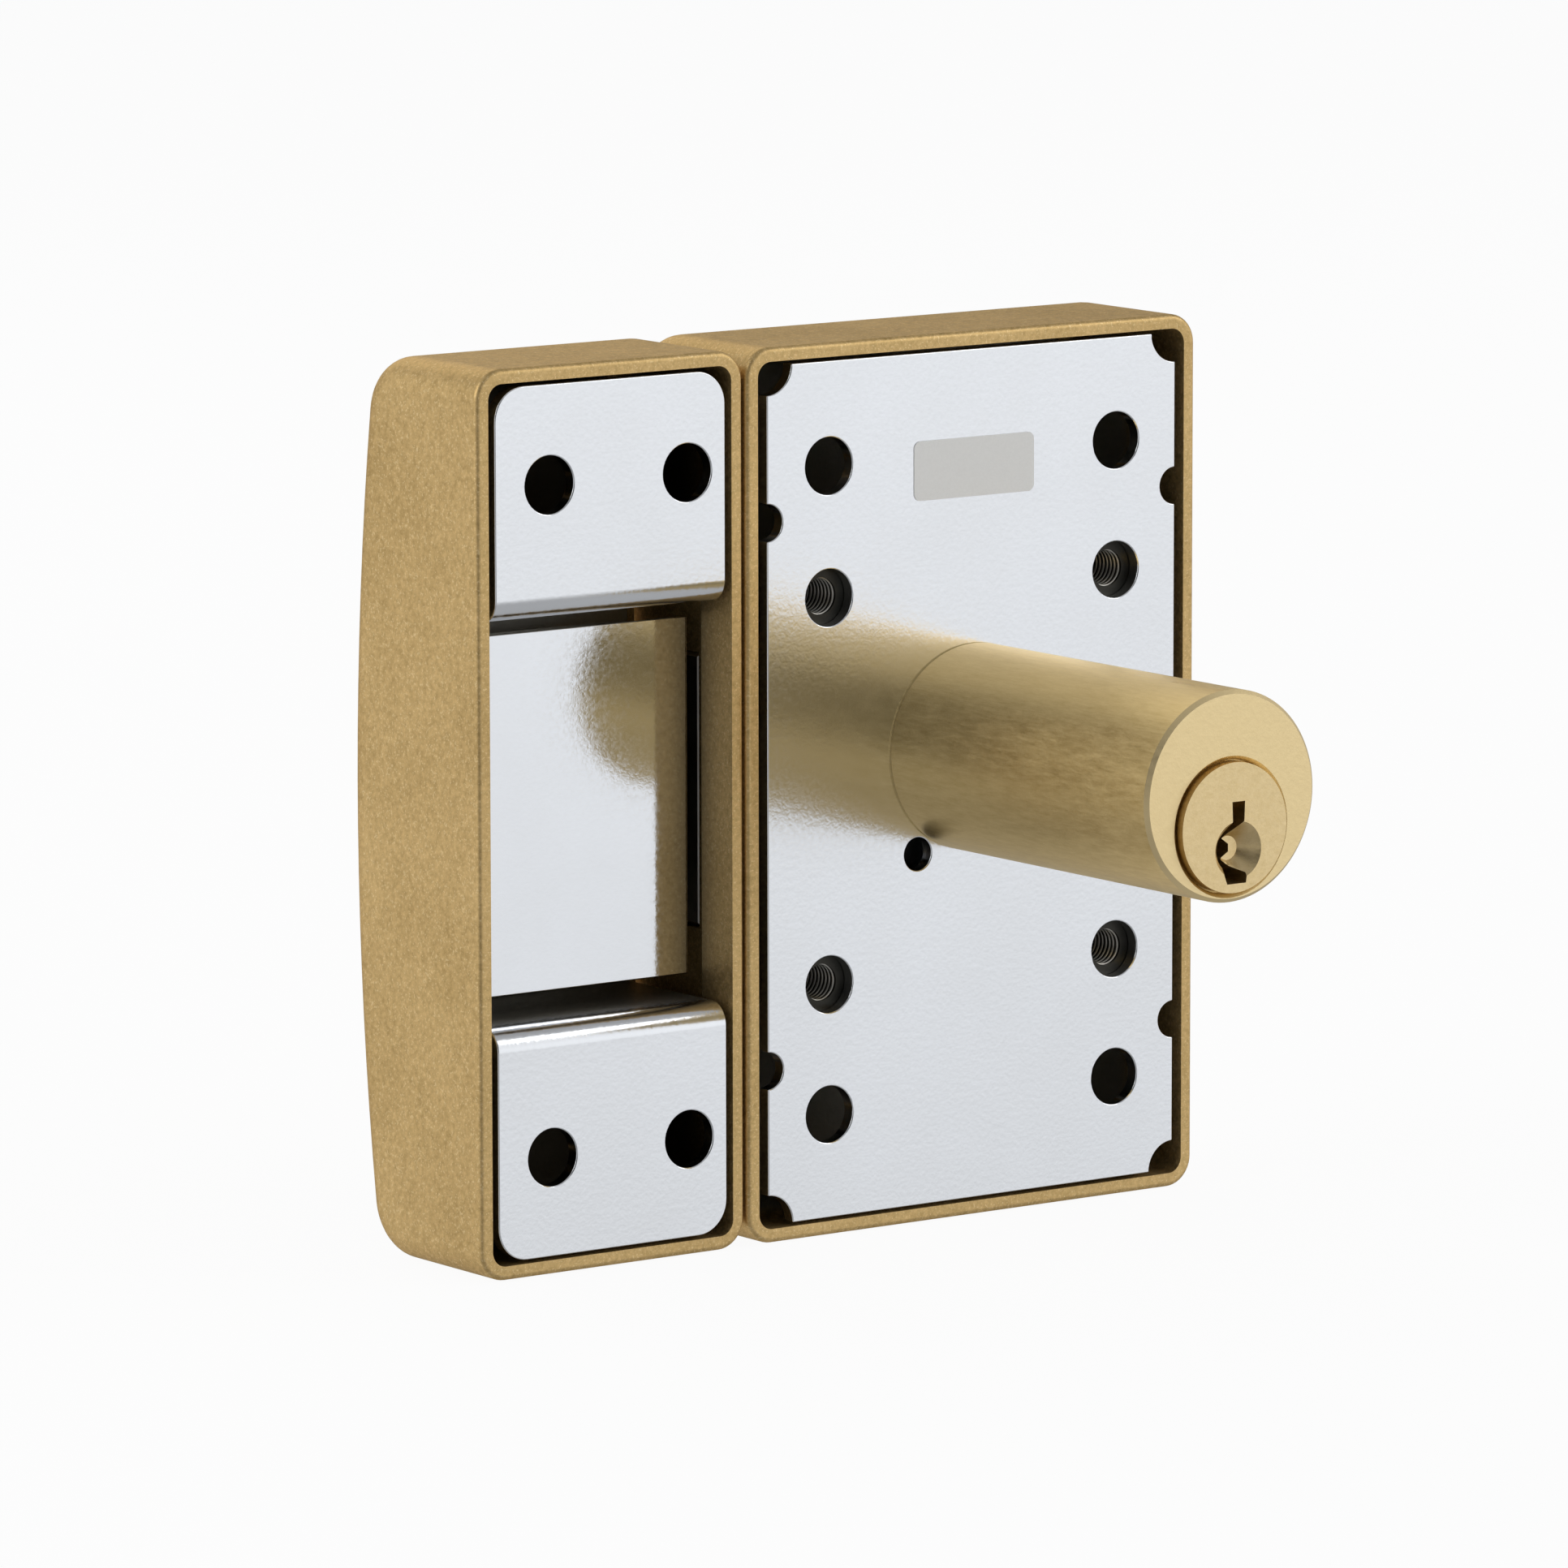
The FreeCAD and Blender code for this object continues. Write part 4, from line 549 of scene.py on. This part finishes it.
class RingTree:
    """Geometry Nodes that set rings of wire at even steps along the Y axis."""

    def __init__(self, name: str, finish: Finish) -> None:
        """Build the tree.

        Args:
            name: the tree's name.
            finish: the finish of the rings.
        """
        self.tree = bpy.data.node_groups.new(name, "GeometryNodeTree")
        self.sockets: dict[str, str] = {}
        face = self.tree.interface
        face.new_socket("Spots", in_out="INPUT", socket_type="NodeSocketGeometry")
        for label, kind in (("Count", "NodeSocketInt"), ("Pitch", "NodeSocketFloat"),
                            ("Radius", "NodeSocketFloat"), ("Wire", "NodeSocketFloat")):
            made = face.new_socket(label, in_out="INPUT", socket_type=kind)
            self.sockets[label] = made.identifier
        face.new_socket("Rings", in_out="OUTPUT", socket_type="NodeSocketGeometry")
        start = self.add("NodeGroupInput")
        line = self.add("GeometryNodeMeshLine")
        step = self.add("ShaderNodeCombineXYZ")
        self.join(start, "Pitch", step, "Y")
        self.join(start, "Count", line, "Count")
        self.join(step, "Vector", line, "Offset")
        circle = self.add("GeometryNodeCurvePrimitiveCircle")
        circle.inputs["Resolution"].default_value = 40
        self.join(start, "Radius", circle, "Radius")
        profile = self.add("GeometryNodeCurvePrimitiveCircle")
        profile.inputs["Resolution"].default_value = 6
        self.join(start, "Wire", profile, "Radius")
        swept = self.add("GeometryNodeCurveToMesh")
        self.join(circle, "Curve", swept, "Curve")
        self.join(profile, "Curve", swept, "Profile Curve")
        stand = self.add("GeometryNodeTransform")
        stand.inputs["Rotation"].default_value = (math.pi / 2, 0.0, 0.0)
        self.join(swept, "Mesh", stand, "Geometry")
        stack = self.add("GeometryNodeInstanceOnPoints")
        self.join(line, "Mesh", stack, "Points")
        self.join(stand, "Geometry", stack, "Instance")
        spots = self.add("GeometryNodeInstanceOnPoints")
        self.join(start, "Spots", spots, "Points")
        self.join(stack, "Instances", spots, "Instance")
        real = self.add("GeometryNodeRealizeInstances")
        self.join(spots, "Instances", real, "Geometry")
        coat = self.add("GeometryNodeSetMaterial")
        coat.inputs["Material"].default_value = finish.material()
        self.join(real, "Geometry", coat, "Geometry")
        end = self.add("NodeGroupOutput")
        self.join(coat, "Geometry", end, "Rings")

    def add(self, kind: str) -> bpy.types.Node:
        """Add a node of that type."""
        return self.tree.nodes.new(kind)

    def join(self, source: bpy.types.Node, output: str, target: bpy.types.Node, put: str) -> None:
        """Link two nodes by the names of their sockets."""
        self.tree.links.new(source.outputs[output], target.inputs[put])

    def rings(self, name: str, spots: Sequence[tuple[float, float, float]], count: int,
              pitch: float, radius: float, wire: float) -> bpy.types.Object:
        """Make the rings as a plain mesh.

        Args:
            name: the piece's name.
            spots: the first ring's centre in each stack.
            count: rings in a stack.
            pitch: the step between rings.
            radius: the radius of a ring's wire centre.
            wire: the radius of the wire.

        Returns:
            The piece.
        """
        seed = bpy.data.meshes.new(name)
        seed.from_pydata(list(spots), [], [])
        piece = bpy.data.objects.new(name, seed)
        bpy.context.collection.objects.link(piece)
        modifier = piece.modifiers.new("rings", "NODES")
        modifier.node_group = self.tree
        for label, value in (("Count", count), ("Pitch", pitch), ("Radius", radius),
                             ("Wire", wire)):
            modifier[self.sockets[label]] = value
        graph = bpy.context.evaluated_depsgraph_get()
        mesh = bpy.data.meshes.new_from_object(piece.evaluated_get(graph), depsgraph=graph)
        piece.modifiers.clear()
        piece.data = mesh
        mesh.polygons.foreach_set("use_smooth", [True] * len(mesh.polygons))
        return piece


@dataclass
class LockCase(SubAssembly):
    """The case: cover, back plate, label, posts and their screws."""

    post_x: float = 24.0 * MM
    post_z: float = 26.0 * MM
    thread_pitch: float = 0.8 * MM
    thread_start: float = 2.6 * MM
    thread_turns: int = 15
    thread_radius: float = 2.5 * MM
    thread_wire: float = 0.22 * MM

    def build(self) -> None:
        """Dress the case and set rings in the posts, which stand for their threads."""
        self.dress(Finish.GOLD_CASE, "case_cover")
        self.refined("back_plate", Finish.ZINC, "frame", "zinc_plate", 0.16 * MM)
        self.dress(Finish.LABEL, "case_label")
        # the spacer posts take near-black painted shade
        self.dress(Finish.DARK_STEEL, "spacer_posts")
        self.dress(Finish.FASTENER, "cover_screws")
        tree = RingTree("post_threads", Finish.THREAD_STEEL)
        spots = [(side * self.post_x, self.thread_start, up * self.post_z)
                 for side in (-1, 1) for up in (-1, 1)]
        threads = tree.rings("post_threads", spots, self.thread_turns, self.thread_pitch,
                             self.thread_radius, self.thread_wire)
        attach(threads, "frame")
        self.made.append(threads)


@dataclass
class KeyCylinders(SubAssembly):
    """Both key cylinders, with their pins, clips, caps and fixings."""

    def build(self) -> None:
        """Dress the brass pieces and soften their turned edges."""
        self.refined("outer_housing", Finish.BRASS_BODY, "frame", "brass", 0.12 * MM)
        self.refined("outer_plug", Finish.BRASS_PLUG, "outer_plug", "brass", 0.10 * MM)
        self.refined("inner_housing", Finish.BRASS_BODY, "frame", "brass", 0.12 * MM)
        self.refined("inner_plug", Finish.BRASS_PLUG, "inner_plug", "brass", 0.10 * MM)
        self.refined("inner_rosette", Finish.BRASS_BODY, "frame", "brass", 0.12 * MM)
        self.dress(Finish.BRASS_BODY, "inner_ring_nut", "inner_end_cap", "outer_pin_caps",
                   "inner_pin_caps")
        self.dress(Finish.BRASS_PLUG, "outer_key_pins", "outer_driver_pins", "inner_key_pins",
                   "inner_driver_pins")
        self.dress(Finish.FASTENER, "outer_pin_springs", "inner_pin_springs", "outer_clip",
                   "inner_clip", "outer_tailpiece", "cylinder_screws", "cylinder_washers",
                   "inner_coupler", "coupler_spring")


@dataclass
class BoltWork(SubAssembly):
    """Driver, wheel, rack and bolt."""

    def build(self) -> None:
        """Dress the steel pieces of the train, the rail and their fixings."""
        self.refined("bolt_head", Finish.BOLT, "bolt", "bolt_steel", 0.15 * MM)
        self.dress(Finish.TOOL_STEEL, "bolt_arm", "bolt_rivets", "bolt_hard_pins",
                   "driver_pinion", "wheel_gear", "rack_pinion", "gear_axle")
        self.dress(Finish.ZINC, "rack_rail")
        self.dress(Finish.FASTENER, "axle_clip", "axle_washer", "rail_screws")


@dataclass
class StrikeBox(SubAssembly):
    """The strike: cover, bracket, keeper and screws."""

    def build(self) -> None:
        """Dress the strike."""
        self.dress(Finish.GOLD_STRIKE, "strike_cover")
        self.refined("strike_bracket", Finish.ZINC_STRAP, "frame", "zinc_plate", 0.16 * MM)
        self.refined("strike_keeper", Finish.ZINC_BRIGHT, "frame", "zinc_plate", 0.16 * MM)
        self.dress(Finish.FASTENER, "strike_screws")


@dataclass(frozen=True)
class Studio:
    """Camera, lamps, floor and surroundings."""

    place: tuple[float, float, float] = (-0.8539, -1.1323, 0.2154)
    right: tuple[float, float, float] = (0.80895, -0.58788, -0.00160)
    down: tuple[float, float, float] = (-0.09002, -0.12118, -0.98854)
    lens: float = 245.3
    floor_height: float = -0.0602
    front_left: float = 0.75
    front_right: float = 1.12
    back_left: float = 0.80
    back_right: float = 0.42
    overhead: float = 0.40
    dark_centre: tuple[float, float, float] = (-0.56, -0.76, 0.29)
    dark_cone: tuple[float, float] = (0.78, 0.97)
    dark_share: float = 0.90
    floor_half: float = 12.0
    floor_white: float = 0.94
    tint: Colour = (0.965, 0.98, 1.0)

    def build(self) -> None:
        """Set up the studio."""
        scene = bpy.context.scene
        scene.view_settings.view_transform = "Standard"
        self.camera(scene)
        self.surroundings(scene)
        self.floor()
        self.lamp("side_panel", (-1.1, 0.15, 0.55), 0.7, 3.5)
        self.lamp("right_panel", (1.2, -0.9, 0.9), 0.8, 4.0)
        self.lamp("back_panel", (0.2, 1.0, 0.7), 0.8, 1.5)

    def camera(self, scene: bpy.types.Scene) -> None:
        """Place the camera where the photograph was taken from."""
        right, down = Vector(self.right), Vector(self.down)
        up = -down
        back = right.cross(up)
        turned = Matrix((right, up, back)).transposed().to_4x4()
        data = bpy.data.cameras.new("photo_camera")
        data.lens = self.lens
        data.sensor_width = 36.0
        data.clip_start = 0.01
        data.clip_end = 50.0
        eye = bpy.data.objects.new("photo_camera", data)
        eye.matrix_world = Matrix.Translation(self.place) @ turned
        scene.collection.objects.link(eye)
        scene.camera = eye

    def surroundings(self, scene: bpy.types.Scene) -> None:
        """A room that is white to the camera, with a bright side at the front right."""
        world = bpy.data.worlds.new("studio_room")
        scene.world = world
        world.use_nodes = True
        s = Shader.over(world.node_tree)
        direction = s.node("ShaderNodeTexCoord").outputs["Generated"]
        x, y, z = (Signal(s, socket) for socket in
                   s.node("ShaderNodeSeparateXYZ", {}, {0: direction}).outputs)
        side, depth, height = x.stepped(-0.45, 0.45), y.stepped(-0.45, 0.45), z.stepped(0.1, 0.9)
        front = side * (self.front_right - self.front_left) + self.front_left
        front = front * (z.stepped(-0.45, -0.02) * 0.58 + 0.42)
        back = side * (self.back_right - self.back_left) + self.back_left
        level = front * (1.0 - depth) + back * depth
        level = level * (1.0 - height) + height * self.overhead
        facing = s.node("ShaderNodeVectorMath", {"operation": "DOT_PRODUCT"},
                        {0: direction, 1: tuple(Vector(self.dark_centre).normalized())})
        shade = Signal(s, facing.outputs["Value"]).stepped(*self.dark_cone)
        level = level * (1.0 - shade * self.dark_share)
        rays = s.node("ShaderNodeLightPath").outputs
        looking, passing, mirrored = (Signal(s, rays["Is %s Ray" % kind])
                                      for kind in ("Camera", "Transmission", "Glossy"))
        plain = looking.maths("MAXIMUM", looking, passing)
        seen = plain.maths("MAXIMUM", plain, mirrored)
        room = s.node("ShaderNodeBackground", {}, {"Color": self.tint, "Strength": level})
        backdrop = s.node("ShaderNodeBackground", {},
                          {"Color": s.blend(plain, self.tint, (1.0, 1.0, 1.0)),
                           "Strength": plain + (1.0 - plain) * level})
        mix = s.node("ShaderNodeMixShader", {}, {0: seen, 1: room.outputs[0], 2: backdrop.outputs[0]})
        s.node("ShaderNodeOutputWorld", {}, {"Surface": mix.outputs[0]})

    def floor(self) -> None:
        """A wide pale floor that keeps a soft shadow and shows white to the camera."""
        mesh = bpy.data.meshes.new("floor")
        half, level = self.floor_half, self.floor_height
        mesh.from_pydata([(-half, -half, level), (half, -half, level), (half, half, level),
                          (-half, half, level)], [], [(0, 1, 2, 3)])
        plane = bpy.data.objects.new("floor", mesh)
        bpy.context.collection.objects.link(plane)
        s = Shader("pale_floor")
        path = s.node("ShaderNodeLightPath")
        matt = s.node("ShaderNodeBsdfDiffuse", {}, {"Color": (0.9, 0.9, 0.9)})
        bright = s.node("ShaderNodeEmission", {}, {"Color": (1.0, 1.0, 1.0), "Strength": 1.0})
        share = Signal(s, path.outputs["Is Camera Ray"]) * self.floor_white
        mix = s.node("ShaderNodeMixShader", {}, {0: share, 1: matt.outputs[0],
                                                 2: bright.outputs[0]})
        s.node("ShaderNodeOutputMaterial", {}, {"Surface": mix.outputs[0]})
        mesh.materials.append(s.material)
        plane.visible_glossy = False

    def lamp(self, name: str, place: tuple[float, float, float], size: float, power: float) -> None:
        """Hang a square soft lamp that faces the object.

        Args:
            name: the lamp's name.
            place: its place.
            size: its side.
            power: its power in watts.
        """
        data = bpy.data.lights.new(name, "AREA")
        data.size = size
        data.energy = power
        lamp = bpy.data.objects.new(name, data)
        lamp.location = place
        lamp.rotation_euler = (-Vector(place)).to_track_quat("-Z", "Y").to_euler()
        bpy.context.scene.collection.objects.link(lamp)


def main() -> None:
    """Load the frame, build each sub-assembly in order and set up the studio."""
    logging.basicConfig(level=logging.INFO, format="%(name)s: %(message)s")
    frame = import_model()
    for kind in (LockCase, KeyCylinders, BoltWork, StrikeBox):
        part = kind(frame)
        part.build()
        for piece in part.made:
            LOG.info("%s made %s", kind.__name__, piece.name)
    Studio().build()


if __name__ == "__main__":
    main()
